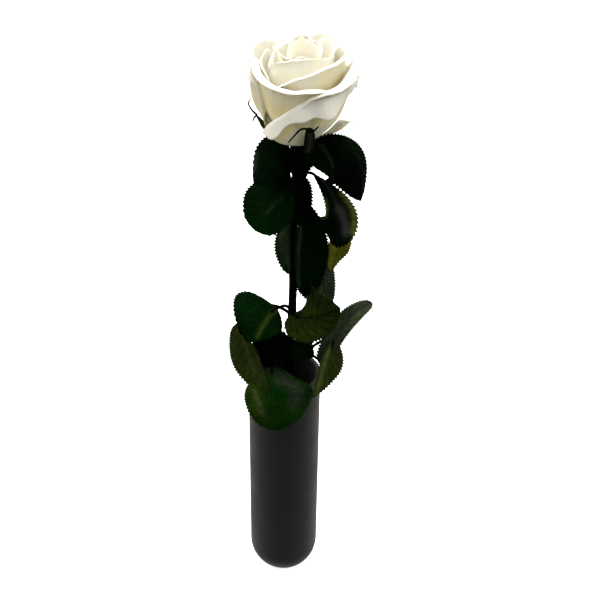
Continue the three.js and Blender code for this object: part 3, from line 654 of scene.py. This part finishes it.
def petalMaterial(settings):
    bench = newBench("ivory_petal")
    across, up, number = bench.split(bench.own("petalPlace", "Vector"))
    where = bench.place()
    sway = bench.times(bench.minus(bench.noise(where, 70, 3), 0.5), 0.16)
    across = bench.plus(across, sway)
    streak = bench.noise(bench.stretched((across, up, number), (34.0, 2.2, 1.0)), 1.0, 4, 0.55)
    fine = bench.noise(bench.stretched((across, up, number), (110.0, 5.0, 1.0)), 1.0, 2, 0.5)
    cloud = bench.noise(where, 55, 3)
    # yellow at the root, cream up the wall and white towards the rim
    colour = bench.mix(bench.ramp(up, 0.35, 0.72), settings["cream"], settings["white"])
    colour = bench.mix(bench.ramp(up, 0.1, 0.56, 1.0, 0.0), colour, settings["depth"])
    # masks by the distance from the flower's axis
    east, north, height = bench.split(where)
    east = bench.minus(east, float(flowerBase[0]) * mm)
    away = bench.math("SQRT", bench.plus(bench.times(east, east), bench.times(north, north)))
    inner = bench.ramp(away, *settings["innerEdge"], 1.0, 0.0)
    colour = bench.mix(bench.times(inner, 0.75), colour, settings["innerWhite"])
    outside = bench.times(bench.own("petalBack"), bench.ramp(up, 0.45, 0.66, 0.85, 0.25))
    outside = bench.times(outside, bench.ramp(inner, 0.0, 1.0, 1.0, 0.3))
    colour = bench.mix(outside, colour, settings["back"])
    colour = bench.mix(bench.ramp(away, *settings["heartEdge"], 0.35, 0.0), colour, settings["heart"])
    # painted shade on the outer petals at the front, whose mask also sets their stains and threads, and on
    # the bowl under them
    outer = bench.ramp(north, *settings["frontEdge"], 1.0, 0.0)
    outer = bench.times(outer, bench.ramp(away, *settings["outerEdge"]))
    # each petal's own share of painted shade is added to the front's
    outer = bench.math("MAXIMUM", outer, bench.own("petalWear"))
    colour = bench.tint(outer, colour, settings["frontShade"])
    bowl = bench.times(bench.ramp(height, *settings["bowlTop"], 0.6, 0.0),
                       bench.ramp(away, *settings["bowlEdge"], 1.0, 0.0))
    colour = bench.tint(bowl, colour, settings["bowl"])
    rimShare = bench.times(bench.ramp(up, 0.88, 0.97, 0.0, 0.5), inner)
    colour = bench.mix(rimShare, colour, settings["innerRim"])
    stain = bench.times(bench.ramp(streak, 0.5, 0.72), bench.ramp(outer, 0.0, 1.0, 0.05, 0.30))
    colour = bench.mix(stain, colour, settings["stain"])
    colour = bench.mix(bench.ramp(cloud, 0.4, 0.75, 0.0, 0.08), colour, settings["cloud"])
    thread = bench.times(outer, bench.ramp(up, 0.40, 0.60, 0.0, 0.16))
    colour = bench.mix(bench.times(bench.ramp(fine, 0.54, 0.70), thread), colour, settings["thread"])
    # ridges along the petal, flatter inside, under a fine grain
    ridges = bench.plus(streak, bench.times(fine, 0.5))
    ridges = bench.times(ridges, bench.ramp(inner, 0.0, 1.0, 1.0, 0.35))
    normal = bench.bump(ridges, 0.00035, 0.5)
    normal = bench.bump(bench.noise(where, 1500, 2), 0.00003, 0.5, Normal=normal)
    roughness = bench.ramp(cloud, 0.3, 0.7, settings["roughness"] - 0.06, settings["roughness"] + 0.08)
    return bench.finish(colour, roughness, Normal=normal, **{
        "Subsurface Weight": 0.35,
        "Subsurface Radius": (1.0, 0.80, 0.50),
        "Subsurface Scale": 0.001,
        "Specular IOR Level": 0.25,
        "Sheen Weight": 0.12,
        "Sheen Roughness": 0.4,
    })


def makeCore(settings):
    # the small solid heart that every petal grows from
    rings = smoothRow(settings["coreProfile"], np.linspace(0, 1, 24))
    turns = np.radians(np.arange(0, 360, 15))
    low, high = settings["coreEnds"]
    points, faces = turnedForm(rings, turns, (0, 0, low), (0, 0, high))
    zeros = np.zeros(len(points))
    attributes = {"petalPlace": np.zeros((len(points), 3)), "petalBack": zeros, "petalWear": zeros}
    return np.asarray(points) + flowerBase, faces, attributes


def makeFlower(settings):
    material = petalMaterial(settings)
    sheets = [petalSheet(shape, i, settings) for i, shape in enumerate(petals.values())]
    groups = {
        "inner_petals": sheets[:innerPetalCount] + [makeCore(settings)],
        "outer_petals": sheets[innerPetalCount:],
    }
    for name, group in groups.items():
        piece = facingOut(joinedSheets(name, group, material))
        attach(piece, "root")
        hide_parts("bloom")
        sayTriangles(piece)


makeFlower(petalSettings)


# Leaflets and sepals

leafSettings = {
    "thickness": 0.32,
    "toothSpacing": 2.1,
    "fewestTeeth": 5,
    "toothHeight": 1.4,
    "toothPhases": (0.0, 0.45, 0.82),
    "sepalEdge": (7, 0.25, 0.25),  # teeth on a side, their height and the strength of the relief
    "halfColumns": 10,
    "veins": 8,
    "veinSlope": 0.24,
    "pucker": 0.24,
    "ribGroove": 0.3,
    "wave": 0.9,
    "veinRadius": (0.2, 0.06),  # from the rib to the edge
    "ribRadius": (0.55, 0.12),  # from the stalk to the tip
    "roughness": 0.36,
    "cloudTint": (2.0, 1.7, 1.5),
    "mottle": ((0.75, 0.78, 0.75), (1.32, 1.26, 1.28)),  # darkest and lightest, times the tone
    "veinTints": ((0.25, 0.4, 0.25), (4.0, 3.2, 4.0)),  # at the blade's veins value 0 and 1
    "underTint": (3.2, 2.2, 3.0),
    "underTone": (0.030, 0.042, 0.018),
    "veinDark": (0.012, 0.020, 0.006),
    "veinLight": (0.030, 0.036, 0.014),
}

leafColours = {
    "black": (0.0002, 0.0010, 0.0002),
    "dark": (0.0002, 0.0030, 0.0003),
    "green": (0.0005, 0.0068, 0.0005),
    "olive": (0.0110, 0.0190, 0.0032),
    "ripe": (0.0092, 0.0165, 0.0020),
    "moss": (0.0020, 0.0165, 0.0008),
    "fresh": (0.0035, 0.0190, 0.0022),
    "yellow": (0.0600, 0.0680, 0.0060),
    "grey": (0.0200, 0.0320, 0.0180),
}


def blade(base, bend, tip, face, wide, tone, fold=0, root=0.55, point=0.85, cup=0, veins=0.35):
    return {"base": base, "bend": bend, "tip": tip, "face": face, "wide": wide, "tone": tone,
            "fold": fold, "root": root, "point": point, "cup": cup, "veins": veins}


# each row: the midrib's start, control point and tip, where the upper side looks, the two halves'
# widths, the tone, how the halves fold up, and how blunt the two ends are (smaller is rounder)
leaflets = {
    "top left": blade((3.7, -10.7, 351.7), (-5.5, -15, 356.5), (-19, -19, 338),
        (-0.27, -0.6, 0.75), (23, 21), "dark", -12, 0.35, 0.8),
    "top right": blade((10.5, -12.5, 353), (46.5, -19.5, 381), (46, -20, 327.5),
        (0.45, -0.6, 0.75), (10.5, 23.5), "black", -16, 0.56, 0.66),
    "top middle": blade((12, -9, 351.5), (13.5, -16, 352), (6.5, -12.5, 337),
        (0, -0.85, 0.5), (4.5, 15.5), "black", -8, 0.27, 0.7),
    "left": blade((2, -5, 328), (-9, -16, 328), (-18.5, -18, 304),
        (-0.48, -0.85, 0.45), (16.5, 18), "green", -6, 0.6, 0.42, veins=0.5),
    "dark": blade((11, 2, 332), (13.5, -3, 317), (9.5, -3, 299),
        (-0.01, -0.9, 0.4), (4.5, 7.5), "dark", 6, 0.58, 0.67),
    "long": blade((12, -4, 316), (18, -12, 280), (13, -10, 250),
        (0.26, -0.85, 0.45), (12, 9), "dark", 10, 0.6, 0.6),
    "folded right": blade((16, -2, 337), (48, -10, 309), (26.5, -6, 294.5),
        (-0.09, -0.9, 0.4), (11.5, 12.5), "dark", 18, 0.95, 0.28),
    "olive right": blade((38, 4, 295), (33, 0, 280.5), (30, 2, 261.5),
        (0.6, -0.9, 0.3), (8.5, 9), "yellow", 8, 0.55, 0.9, veins=0.5),
    "behind left": blade((4, 7, 295.5), (-2, 9, 285), (2, 9, 254),
        (-0.26, -0.85, 0.4), (3.5, 7), "fresh", 6, 0.69, 0.59, veins=0.45),
    "behind right": blade((20, 9, 270), (22, 6, 256), (30, 8, 224),
        (0.1, -0.9, 0.4), (9.5, 17), "grey", 8, 0.55, 0.85, veins=0.8),
    "whorl left": blade((-5, -5, 236), (-14.5, -20, 240), (-25, -22, 220.5),
        (-0.28, -0.8, 0.5), (13, 25), "green", -6, 0.64, 0.86, veins=0.4),
    "whorl right": blade((4, -6, 232), (13.5, -20, 234), (36, -26, 252),
        (0.38, -0.75, 0.6), (25.5, 15.5), "ripe", -6, 0.61, 0.8, veins=0.0),
    "rim rolled": blade((26, -5, 189), (37, -6, 231), (58.5, 2, 236.5),
        (-0.16, -0.6, 0.6), (7.5, 7), "grey", 24, 0.32, 0.45, veins=0.6),
    "rim right": blade((33, -4, 210), (29.5, -16, 196.5), (18.5, -28, 178),
        (0.47, -0.8, 0.4), (10.5, 5), "olive", 12, 0.72, 1.03, veins=0.6),
    "left long": blade((-31, -6, 225), (-25.5, -16, 205.5), (-9.5, -29, 179),
        (-0.6, -0.75, 0.4), (7, 13.5), "olive", 8, 0.66, 0.68, veins=0.55),
    "rim front": blade((-8, -12, 193), (-9, -34.6, 193.5), (-4, -30.6, 151.5),
        (-0.05, -0.75, 0.65), (26, 19.5), "moss", -4, 0.75, 0.46, cup=-0.012, veins=0.45),
    "rim inner left": blade((4, -5, 202), (-11, -10, 207), (-23, -10, 196),
        (0, -0.7, 0.7), (11, 14.5), "black", 8, 0.55, 0.85),
    "rim small": blade((8, -6, 210), (10, -10, 209), (20, -12, 201),
        (0, -0.7, 0.7), (8, 8), "dark", 8, 0.55, 0.85),
}

# soft painted bands, a mix of painted sheen, painted shadow and the leaves' own paler, darker or yellower
# patches: (along, across) places on the blade, half width, colour, strength
leafBands = {
    "top left": [
        ([(0.0, -0.5), (0.3, -0.6), (0.55, -0.75)], 8.5, (0.0001, 0.0002, 0.0001), 0.97),
        ([(0.0, 0.3), (0.2, 0.2)], 5, (0.0003, 0.0004, 0.0002), 0.9),
        ([(0.72, 0.97), (0.86, 0.9)], 2.0, (0.018, 0.024, 0.014), 0.8),
    ],
    "top right": [
        ([(0.05, 0.3), (0.1, 0.7)], 6, (0.0003, 0.0045, 0.0008), 0.8),
        ([(0.16, -0.35), (0.18, -0.1), (0.22, 0.25), (0.29, 0.55)], 1.5, (0.0085, 0.015, 0.01), 0.9),
        ([(0.45, -0.8), (0.6, -0.7)], 5, (0.0004, 0.0028, 0.0003), 0.8),
    ],
    "left": [
        ([(0.29, -0.25), (0.53, -0.14), (0.71, -0.06)], 0.8, (0.01, 0.026, 0.008), 0.8),
        ([(0.2, 0.2), (0.1, 0.8)], 3.5, (0.0004, 0.0038, 0.0003), 0.8),
        ([(0.5, -0.95), (0.8, -0.9)], 3, (0.0006, 0.005, 0.0005), 0.8),
    ],
    "dark": [([(0.75, 0.0), (1.0, 0.0)], 5, (0.0002, 0.0008, 0.0002), 0.9)],
    "long": [
        ([(0.2, 0.72), (0.42, 0.8), (0.71, 0.9), (0.85, 0.85)], 1.1, (0.013, 0.024, 0.015), 0.85),
        ([(0.5, 0.1), (0.8, 0.0)], 5, (0.0002, 0.0042, 0.0004), 0.7),
    ],
    "folded right": [
        ([(0.02, -0.2), (0.12, -0.37), (0.24, -0.06), (0.41, 0.06), (0.6, -0.12)],
         1.3, (0.013, 0.02, 0.015), 0.9),
        ([(0.45, 0.05), (0.63, -0.15), (0.76, -0.52)], 2.9, (0.03, 0.035, 0.033), 0.95),
        ([(0.3, -0.98), (0.48, -0.9), (0.62, -0.86), (0.7, -0.9)], 2.3, (0.062, 0.086, 0.017), 1.0),
        ([(0.25, 0.9), (0.46, 0.98), (0.7, 1.0)], 1.1, (0.033, 0.052, 0.008), 0.9),
    ],
    "behind left": [
        ([(0.1, 0.6), (0.32, 0.53), (0.62, 0.22), (0.8, -0.2)], 3.2, (0.028, 0.038, 0.024), 0.75),
    ],
    "behind right": [([(0.3, -0.1), (0.5, -0.3)], 3, (0.03, 0.042, 0.026), 0.7)],
    "whorl left": [
        ([(0.03, -0.27), (0.37, -0.14), (0.81, -0.53)], 1.3, (0.023, 0.04, 0.005), 0.85),
        ([(0.75, 0.9), (0.9, 0.6)], 3, (0.001, 0.004, 0.0006), 0.7),
    ],
    "whorl right": [
        ([(0.0, -0.1), (0.22, -0.13), (0.65, 0.1), (1.0, 0.1)], 1.0, (0.0012, 0.006, 0.0008), 0.8),
        ([(0.3, 0.7), (0.6, 0.7)], 4, (0.016, 0.023, 0.003), 0.5),
    ],
    "rim right": [([(0.1, 0.3), (0.38, 0.5), (0.88, -0.3)], 1.8, (0.043, 0.058, 0.015), 0.9)],
    "rim rolled": [([(0.15, 0.2), (0.48, 0.43), (0.78, 0.22)], 2.0, (0.032, 0.04, 0.016), 0.7)],
    "left long": [([(0.1, 0.0), (0.53, 0.06), (0.9, 0.4)], 2.2, (0.024, 0.033, 0.008), 0.7)],
    "rim front": [
        ([(0.2, 0.75), (0.45, 0.72), (0.75, 0.6)], 6, (0.015, 0.033, 0.002), 0.8),
        ([(0.3, -0.35), (0.42, -0.6), (0.6, -0.6), (0.72, -0.55)], 4.5, (0.017, 0.024, 0.016), 0.85),
        ([(0.36, 0.06), (0.46, -0.02), (0.61, -0.17), (0.71, -0.26)], 0.9, (0.0012, 0.011, 0.0008), 0.9),
        ([(0.8, -0.5), (0.9, 0.3)], 3, (0.004, 0.02, 0.0012), 0.7),
        ([(0.45, 0.7), (0.62, 0.55), (0.8, 0.5)], 1.6, (0.038, 0.052, 0.02), 0.7),
        ([(0.1, 0.2), (0.2, -0.5)], 4, (0.01, 0.015, 0.011), 0.7),
    ],
    "sepal front": [([(0.5, -0.3), (0.95, 0.2)], 1.6, (0.024, 0.028, 0.017), 0.7)],
    "sepal left": [([(0.55, -0.8), (0.75, -0.7), (0.9, -0.6)], 1.1, (0.04, 0.07, 0.012), 0.9)],
}

sepals = {
    "front": blade((9.8, -2, 354.3), (16, -25.5, 353.5), (14, -29.5, 381.5),
        (0, -1, 0.3), (3.6, 3.4), "dark", 0, 0.45, 0.3),
    "left": blade((4.5, 2.5, 353.6), (-8, 8, 353.5), (-18, 0, 375),
        (-0.5, -0.9, 0.5), (2.6, 2.6), "dark", 0, 0.5, 0.7),
    "back": blade((8.8, 2, 354), (10, 16, 354), (10, 21, 343),
        (0, 0.6, 0.8), (3.5, 3.5), "green"),
    "back left": blade((6.5, 2, 354), (-6, 13, 354), (-12, 18, 345),
        (-0.3, 0.5, 0.8), (3, 3), "green"),
}


def bladeOutline(leaf, along):
    root, point = leaf["root"], leaf["point"]
    peak = root / (root + point)
    return along ** root * (1 - along) ** point / (peak ** root * (1 - peak) ** point)


def bladePlace(leaf, along, reach):
    # a place on the blade: along the rib, and reach millimetres out to its side
    along, reach = np.asarray(along, float), np.asarray(reach, float)
    base, bend, tip, face = (np.asarray(leaf[k], float) for k in ("base", "bend", "tip", "face"))
    t, rest = along[..., None], 1 - along[..., None]
    rib = base * rest ** 2 + bend * 2 * rest * t + tip * t ** 2
    tangent = (bend - base) * rest + (tip - bend) * t
    tangent /= np.linalg.norm(tangent, axis=-1, keepdims=True)
    side = np.cross(tangent, np.broadcast_to(face, tangent.shape))
    side /= np.linalg.norm(side, axis=-1, keepdims=True)
    normal = np.cross(side, tangent)
    fold = math.radians(leaf["fold"])
    out = reach * math.cos(fold)
    lift = np.abs(reach) * math.sin(fold) + leaf["cup"] * reach ** 2
    return rib + side * out[..., None] + normal * lift[..., None], normal


def bladeLength(leaf):
    line, _ = bladePlace(leaf, np.linspace(0, 1, 40), np.zeros(40))
    return float(np.linalg.norm(np.diff(line, axis=0), axis=1).sum())


def bladeRelief(index, along, across, settings, strength):
    # hollows along the veins, quilting between them and a slow wave at the edge
    far = np.abs(across)
    phase = (along - settings["veinSlope"] * far ** 0.85) * settings["veins"]
    quilt = np.abs(np.sin(np.pi * phase)) ** 0.8 * np.clip(far * 4, 0, 1) * np.clip((1 - far) * 3, 0, 1)
    groove = -np.exp(-(far / 0.06) ** 2)
    wave = np.sin(2 * np.pi * (1.6 * along + 0.37 * index) + 1.3 * np.sign(across)) * far ** 2
    ends = np.clip(along * 6, 0, 1) * np.clip((1 - along) * 5, 0, 1)
    depth = settings["pucker"] * quilt + settings["ribGroove"] * groove + settings["wave"] * wave
    return strength * ends * depth


def paintedBands(leaf, name, along, reach, tone):
    # blends each band's colour into the blade's own tone, softly over its width, laying on painted sheen,
    # painted shadow and the leaf's own paler patches
    length = bladeLength(leaf)
    for line, width, colour, strength in leafBands.get(name, []):
        line = np.array(line, float)
        half = np.where(line[:, 1] > 0, leaf["wide"][1], leaf["wide"][0])
        spots = np.stack([line[:, 0] * length, line[:, 1] * bladeOutline(leaf, line[:, 0]) * half], 1)
        spots = smoothRow(spots, np.linspace(0, 1, 40))
        away = np.hypot(along[..., None] * length - spots[:, 0], reach[..., None] - spots[:, 1]).min(-1)
        share = (strength * np.exp(-(away / width) ** 2))[..., None]
        tone = tone * (1 - share) + np.array(colour) * share
    return tone


def bladeSheet(leaf, name, index, settings, teeth, toothHeight, strength):
    # each tooth rises over three rows and drops back at the next one
    phases = np.array(settings["toothPhases"])
    teethAlong = [0.03 + 0.93 * (k + p) / teeth for k in range(teeth) for p in phases]
    steps = [0.0, 0.012, *teethAlong, 0.96, 0.985, 1.0]
    tooth = np.concatenate([[0, 0], np.tile(phases / phases[-1], teeth), [0, 0, 0]])
    half = np.linspace(0, 1, settings["halfColumns"] + 1) ** 0.9
    along, across = np.meshgrid(steps, np.concatenate([-half[::-1], half[1:]]))
    outline = bladeOutline(leaf, along)
    reach = across * outline * np.where(across > 0, leaf["wide"][1], leaf["wide"][0])
    saw = tooth * toothHeight * np.clip(outline * 1.6, 0, 1)
    reach += np.sign(across) * saw * np.clip((np.abs(across) - 0.86) / 0.14, 0, 1)
    place, normal = bladePlace(leaf, along, reach)
    relief = bladeRelief(index, along, across, settings, strength)
    place = place + normal * relief[..., None]
    facing = gridNormals(place)
    facing = np.where((facing * normal).sum(-1, keepdims=True) < 0, -facing, facing)
    facing = np.where(np.linalg.norm(facing, axis=-1, keepdims=True) < 0.5, normal, facing)
    thin = settings["thickness"] / 2 * np.clip(outline * 3, 0.35, 1)[..., None]
    where = np.stack([along, across, np.full(along.shape, index * 5.7)], 2).reshape(-1, 3)
    tone = np.tile(leafColours[leaf["tone"]], (*along.shape, 1))
    # painted sheen and painted shadow go into the blade's tone here, with its own paler patches
    tone = paintedBands(leaf, name, along, reach, tone).reshape(-1, 3)
    tone = np.hstack([np.vstack([tone, tone]), np.full((2 * len(where), 1), leaf["veins"])])
    return thinSheet(place, facing, thin, {
        "bladePlace": np.vstack([where, where]),
        "bladeTone": tone,
        "upperSide": np.repeat([1.0, 0.0], len(where)),
    })


def leafMaterial(settings):
    bench = newBench("waxy_leaf")
    along, across, _ = bench.split(bench.own("bladePlace", "Vector"))
    far = bench.math("ABSOLUTE", across)
    where = bench.place()
    # side veins in step with the blade's hollows, the midrib, and a net between them
    slope = bench.times(bench.math("POWER", far, 0.85), settings["veinSlope"])
    phase = bench.times(bench.minus(along, slope), float(settings["veins"]))
    wobble = bench.times(bench.minus(bench.noise(where, 160, 2), 0.5), 0.22)
    offPhase = bench.math("ABSOLUTE", bench.minus(bench.math("FRACT", bench.plus(phase, wobble)), 0.5))
    vein = bench.times(bench.ramp(offPhase, 0.36, 0.48), bench.ramp(far, 0.75, 1.0, 1.0, 0.15))
    veins = bench.math("MAXIMUM", vein, bench.ramp(far, 0.015, 0.055, 1.0, 0.0))
    net = bench.ramp(bench.cells(where, 620), 0.0, 0.16, 1.0, 0.0)
    cloud = bench.noise(where, 90, 4)
    under = bench.minus(1.0, bench.own("upperSide"))
    tone = bench.own("bladeTone", "Color")
    veined = bench.own("bladeTone", "Alpha")
    # the blade's own tone, clouded and mottled, paler underneath, with its veins over it
    light = bench.mix(1.0, tone, settings["cloudTint"], "MULTIPLY")
    colour = bench.mix(bench.ramp(cloud, 0.38, 0.72, 0.0, 0.75), tone, light)
    mottle = bench.ramp(bench.noise(where, 420, 3, 0.6), 0.35, 0.65)
    colour = bench.mix(1.0, colour, bench.mix(mottle, *settings["mottle"]), "MULTIPLY")
    pale = bench.mix(1.0, tone, settings["underTint"], "MULTIPLY")
    colour = bench.mix(under, colour, bench.mix(0.5, pale, settings["underTone"]))
    veinTone = bench.mix(1.0, tone, bench.mix(veined, *settings["veinTints"]), "MULTIPLY")
    colour = bench.mix(bench.times(veins, 0.75), colour, veinTone)
    colour = bench.mix(bench.times(net, 0.2), colour, veinTone)
    height = bench.minus(bench.times(net, -0.35), veins)
    height = bench.plus(height, bench.times(cloud, 0.4))
    normal = bench.bump(height, 0.00022, 0.7)
    low, high = settings["roughness"] - 0.05, settings["roughness"] + 0.08
    roughness = bench.ramp(bench.noise(where, 200, 3), 0.3, 0.7, low, high)
    roughness = bench.plus(roughness, bench.times(under, 0.18))
    return bench.finish(colour, roughness, Normal=normal, **{"Specular IOR Level": 0.006})


def veinPaths(leaf, index, settings, strength):
    # midrib and side veins on the underside, as lines on the blade's own surface
    paths = []
    wide = leaf["wide"]

    def onBlade(along, across, radius):
        reach = across * bladeOutline(leaf, along) * np.where(across > 0, wide[1], wide[0])
        place, normal = bladePlace(leaf, along, reach)
        sunk = settings["thickness"] * 0.5 + radius * 0.6
        lift = bladeRelief(index, along, across, settings, strength) - sunk
        return place + normal * lift[..., None]

    ribAlong = np.linspace(0.01, 0.95, 26)
    ribRadius = np.linspace(*settings["ribRadius"], 26)
    paths.append((onBlade(ribAlong, np.zeros(26), ribRadius), ribRadius))
    for k in range(1, settings["veins"] - 1):
        start = k / settings["veins"]
        for sign in (-1, 1):
            far = np.linspace(0.02, 0.86, 12)
            along = np.minimum(start + settings["veinSlope"] * far ** 0.85, 0.97)
            radius = np.linspace(*settings["veinRadius"], 12)
            paths.append((onBlade(along, sign * far, radius), radius))
    return paths


def stalkMaterial(settings):
    bench = newBench("stalk_skin")
    where = bench.place()
    cloud = bench.noise(where, 140, 4)
    streak = bench.noise(bench.stretched(bench.split(where), settings["streakGrain"]), 1.0, 3)
    colour = bench.mix(bench.ramp(cloud, 0.35, 0.7), settings["darkSkin"], settings["lightSkin"])
    colour = bench.mix(bench.ramp(streak, 0.5, 0.75, 0.0, 0.3), colour, settings["streak"])
    normal = bench.bump(bench.plus(streak, bench.noise(where, 900, 2)), 0.00012, 0.6)
    roughness = bench.ramp(cloud, 0.3, 0.7, 0.42, 0.58)
    return bench.finish(colour, roughness, Normal=normal, **{"Specular IOR Level": 0.012})


def veinMaterial(settings):
    bench = newBench("leaf_vein")
    where = bench.place()
    cloud = bench.noise(where, 200, 3)
    colour = bench.mix(bench.ramp(cloud, 0.3, 0.7), settings["veinDark"], settings["veinLight"])
    normal = bench.bump(bench.noise(where, 1200, 2), 0.00005, 0.5)
    return bench.finish(colour, 0.5, Normal=normal, **{"Specular IOR Level": 0.15})


def makeLeaves(settings):
    blades, veins = [], []
    for index, (name, leaf) in enumerate(leaflets.items()):
        teeth = max(int(bladeLength(leaf) / settings["toothSpacing"]), settings["fewestTeeth"])
        blades.append(bladeSheet(leaf, name, index, settings, teeth, settings["toothHeight"], 1.0))
        veins += veinPaths(leaf, index, settings, 1.0)
    skin = leafMaterial(settings)
    leaves = facingOut(joinedSheets("leaf_blades", blades, skin))
    ribs = tubesAlong("leaf_veins", veins, {"sides": 6, "scale": 1.0}, veinMaterial(settings))
    calyxBlades = [bladeSheet(sepal, "sepal " + name, index, settings, *settings["sepalEdge"])
                   for index, (name, sepal) in enumerate(sepals.items(), 40)]
    calyx = facingOut(joinedSheets("sepal_blades", calyxBlades, skin))
    for piece in (leaves, ribs, calyx):
        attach(piece, "root")
        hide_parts("leafy_stem")
        sayTriangles(piece)


makeLeaves(leafSettings)


# Stem, stalks, hip and the sepals' thin tails

stemSettings = {
    "points": [(0, 0, 7.6), (1.9, 0, 95), (3.6, 0, 180), (4.9, 0, 233), (5.4, 0, 263), (5.1, 0, 300),
               (5.6, 0, 325), (7.4, 0, 342), (8.2, 0, 350)],
    "radius": (2.8, 2.7),  # from the foot to the top
    "joints": (194, 228, 262, 290, 304, 321),
    "jointSwell": 0.35,
    "jointReach": 4.0,
    "hipCentre": (8.3, 0, 349.5),
    "hipRadius": 6.5,
    "hipHeight": 13.5,
    "stalkRadius": (1.15, 0.8),
    "tailRadius": (0.75, 0.375),
    "streakGrain": (700.0, 700.0, 60.0),
    "darkSkin": (0.0003, 0.0005, 0.0003),
    "lightSkin": (0.0011, 0.0016, 0.0009),
    "streak": (0.003, 0.0024, 0.0018),
}

stalks = {
    "top leaf": [(5.6, 0, 321), (10, -3, 331), (13, -4.5, 338), (13, -7.5, 346), (11.5, -8, 351)],
    "top leaf left": [(12.5, -8, 347), (9, -9.5, 350.5), (4, -10, 351.7), (0, -11.5, 352.9)],
    "top leaf right": [(12, -8, 347), (12, -11, 351), (14.5, -12.5, 355.5), (19, -13.4, 358)],
    "top leaf middle": [(12.8, -7.8, 347.5), (12, -8.5, 350.5), (12.2, -10.5, 351.3)],
    "top leaf inner": [(10, -3, 331), (12.5, -3, 337), (16.5, -2.5, 336.5), (21.5, -3.4, 332)],
    "dark leaf": [(6, 0, 322), (9, 1, 332), (11, 1.5, 330), (11.5, 0, 325)],
    "left leaf": [(5.2, 0, 306), (3.5, -3.5, 320), (2, -5, 328), (-2, -9, 326)],
    "long leaf": [(5.2, 0, 303), (9, -3, 314), (12.5, -4.5, 315), (13.5, -6, 306.5)],
    "right pair": [(5.2, 0, 290), (17, 3, 299), (33, 5, 301), (38, 4, 296), (36.5, 2.9, 290)],
    "right pair inner": [(5.4, 0, 262), (10, 5, 271), (17, 9, 274), (20.5, 9, 269), (21, 8, 263)],
    "behind leaf": [(5.2, 0, 282), (4.8, 4, 292), (4, 7, 293), (1.8, 7.8, 287)],
    "whorl left": [(4.9, 0, 231), (0, -3, 237), (-5, -5, 236), (-8.8, -10.5, 236.8)],
    "whorl far left": [(4.9, 0, 228), (-6, 2, 233), (-22, 0, 234), (-31, -5, 226), (-29, -10, 218)],
    "whorl right": [(4.9, 0, 226), (3.6, -5, 231), (6, -7, 233), (9.5, -12.5, 234)],
    "rim right": [(4.1, 0, 194), (14, -3, 199), (22, -4.5, 194.5), (26.3, -5, 191), (28.3, -5.1, 197)],
    "rim right low": [(14, -3, 199), (24, 0, 205), (31, -1.5, 210), (33, -4, 210.5), (31.6, -8, 205.5)],
    "rim left": [(4.2, 0, 196), (5.5, -4, 203), (3, -6, 204), (-4, -7.5, 204)],
    "rim front": [(3.9, 0, 184), (-2, -6, 192), (-8, -12, 193), (-8.2, -19.8, 191.6)],
    "rim small": [(4.3, 0, 201), (6, -4, 208), (8.5, -6.5, 210), (10, -9, 209)],
}

sepalTails = {
    "front": [(14, -29.05, 378.6), (12, -30.6, 381), (9, -31.5, 381), (6, -31, 377.5), (2, -28.5, 371)],
    "front branch": [(14.4, -29, 378.2), (16.5, -29.6, 379.4), (19.3, -30, 382.2)],
    "left": [(-17.5, 0.3, 374.2), (-20.6, -3, 379.5), (-22.2, -4.5, 384.2), (-21, -5, 387)],
    "left branch": [(-17.2, 0.5, 373.6), (-18.8, 0, 373), (-20, 0, 370)],
}


def makeHip(settings, material):
    # a blunt egg with five faint ridges
    cx, cy, cz = settings["hipCentre"]
    turns = np.radians(np.arange(0, 360, 6))
    rings = []
    for angle in np.radians(np.linspace(-86, 86, 24)):
        ridge = 1 + 0.025 * np.cos(5 * turns) * math.cos(angle)
        r = settings["hipRadius"] * math.cos(angle) ** 0.5 * ridge
        z = np.full(len(turns), cz + settings["hipHeight"] / 2 * math.sin(angle))
        rings.append(np.stack([cx + r * np.cos(turns), cy + r * np.sin(turns), z], 1))
    low, high = (cx, cy, cz - settings["hipHeight"] / 2), (cx, cy, cz + settings["hipHeight"] / 2)
    points = np.vstack([[low], *rings, [high]])
    return facingOut(meshObject("hip", points, ringedFaces(len(rings), len(turns)), material))


def makeStem(settings):
    material = stalkMaterial(settings)
    line = smoothPath(settings["points"], 150)
    widths = np.linspace(*settings["radius"], 150)
    for height in settings["joints"]:
        widths += settings["jointSwell"] * np.exp(-((line[:, 2] - height) / settings["jointReach"]) ** 2)
    stem = tubesAlong("stem", [(line, widths)], {"sides": 24, "bumps": 0.00022, "grain": 260.0}, material)
    widths = np.linspace(*settings["stalkRadius"], 26)
    paths = [(smoothPath(points, 26), widths) for points in stalks.values()]
    twigs = tubesAlong("leaf_stalks", paths, {"sides": 12, "bumps": 0.00012, "grain": 500.0}, material)
    widths = np.linspace(*settings["tailRadius"], 20)
    paths = [(smoothPath(points, 20), widths) for points in sepalTails.values()]
    tails = tubesAlong("sepal_tails", paths, {"sides": 8, "bumps": 0.0}, material)
    for piece in (stem, twigs, tails, makeHip(settings, material)):
        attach(piece, "root")
        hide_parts("leafy_stem")
        sayTriangles(piece)


makeStem(stemSettings)

bpy.context.view_layer.update()
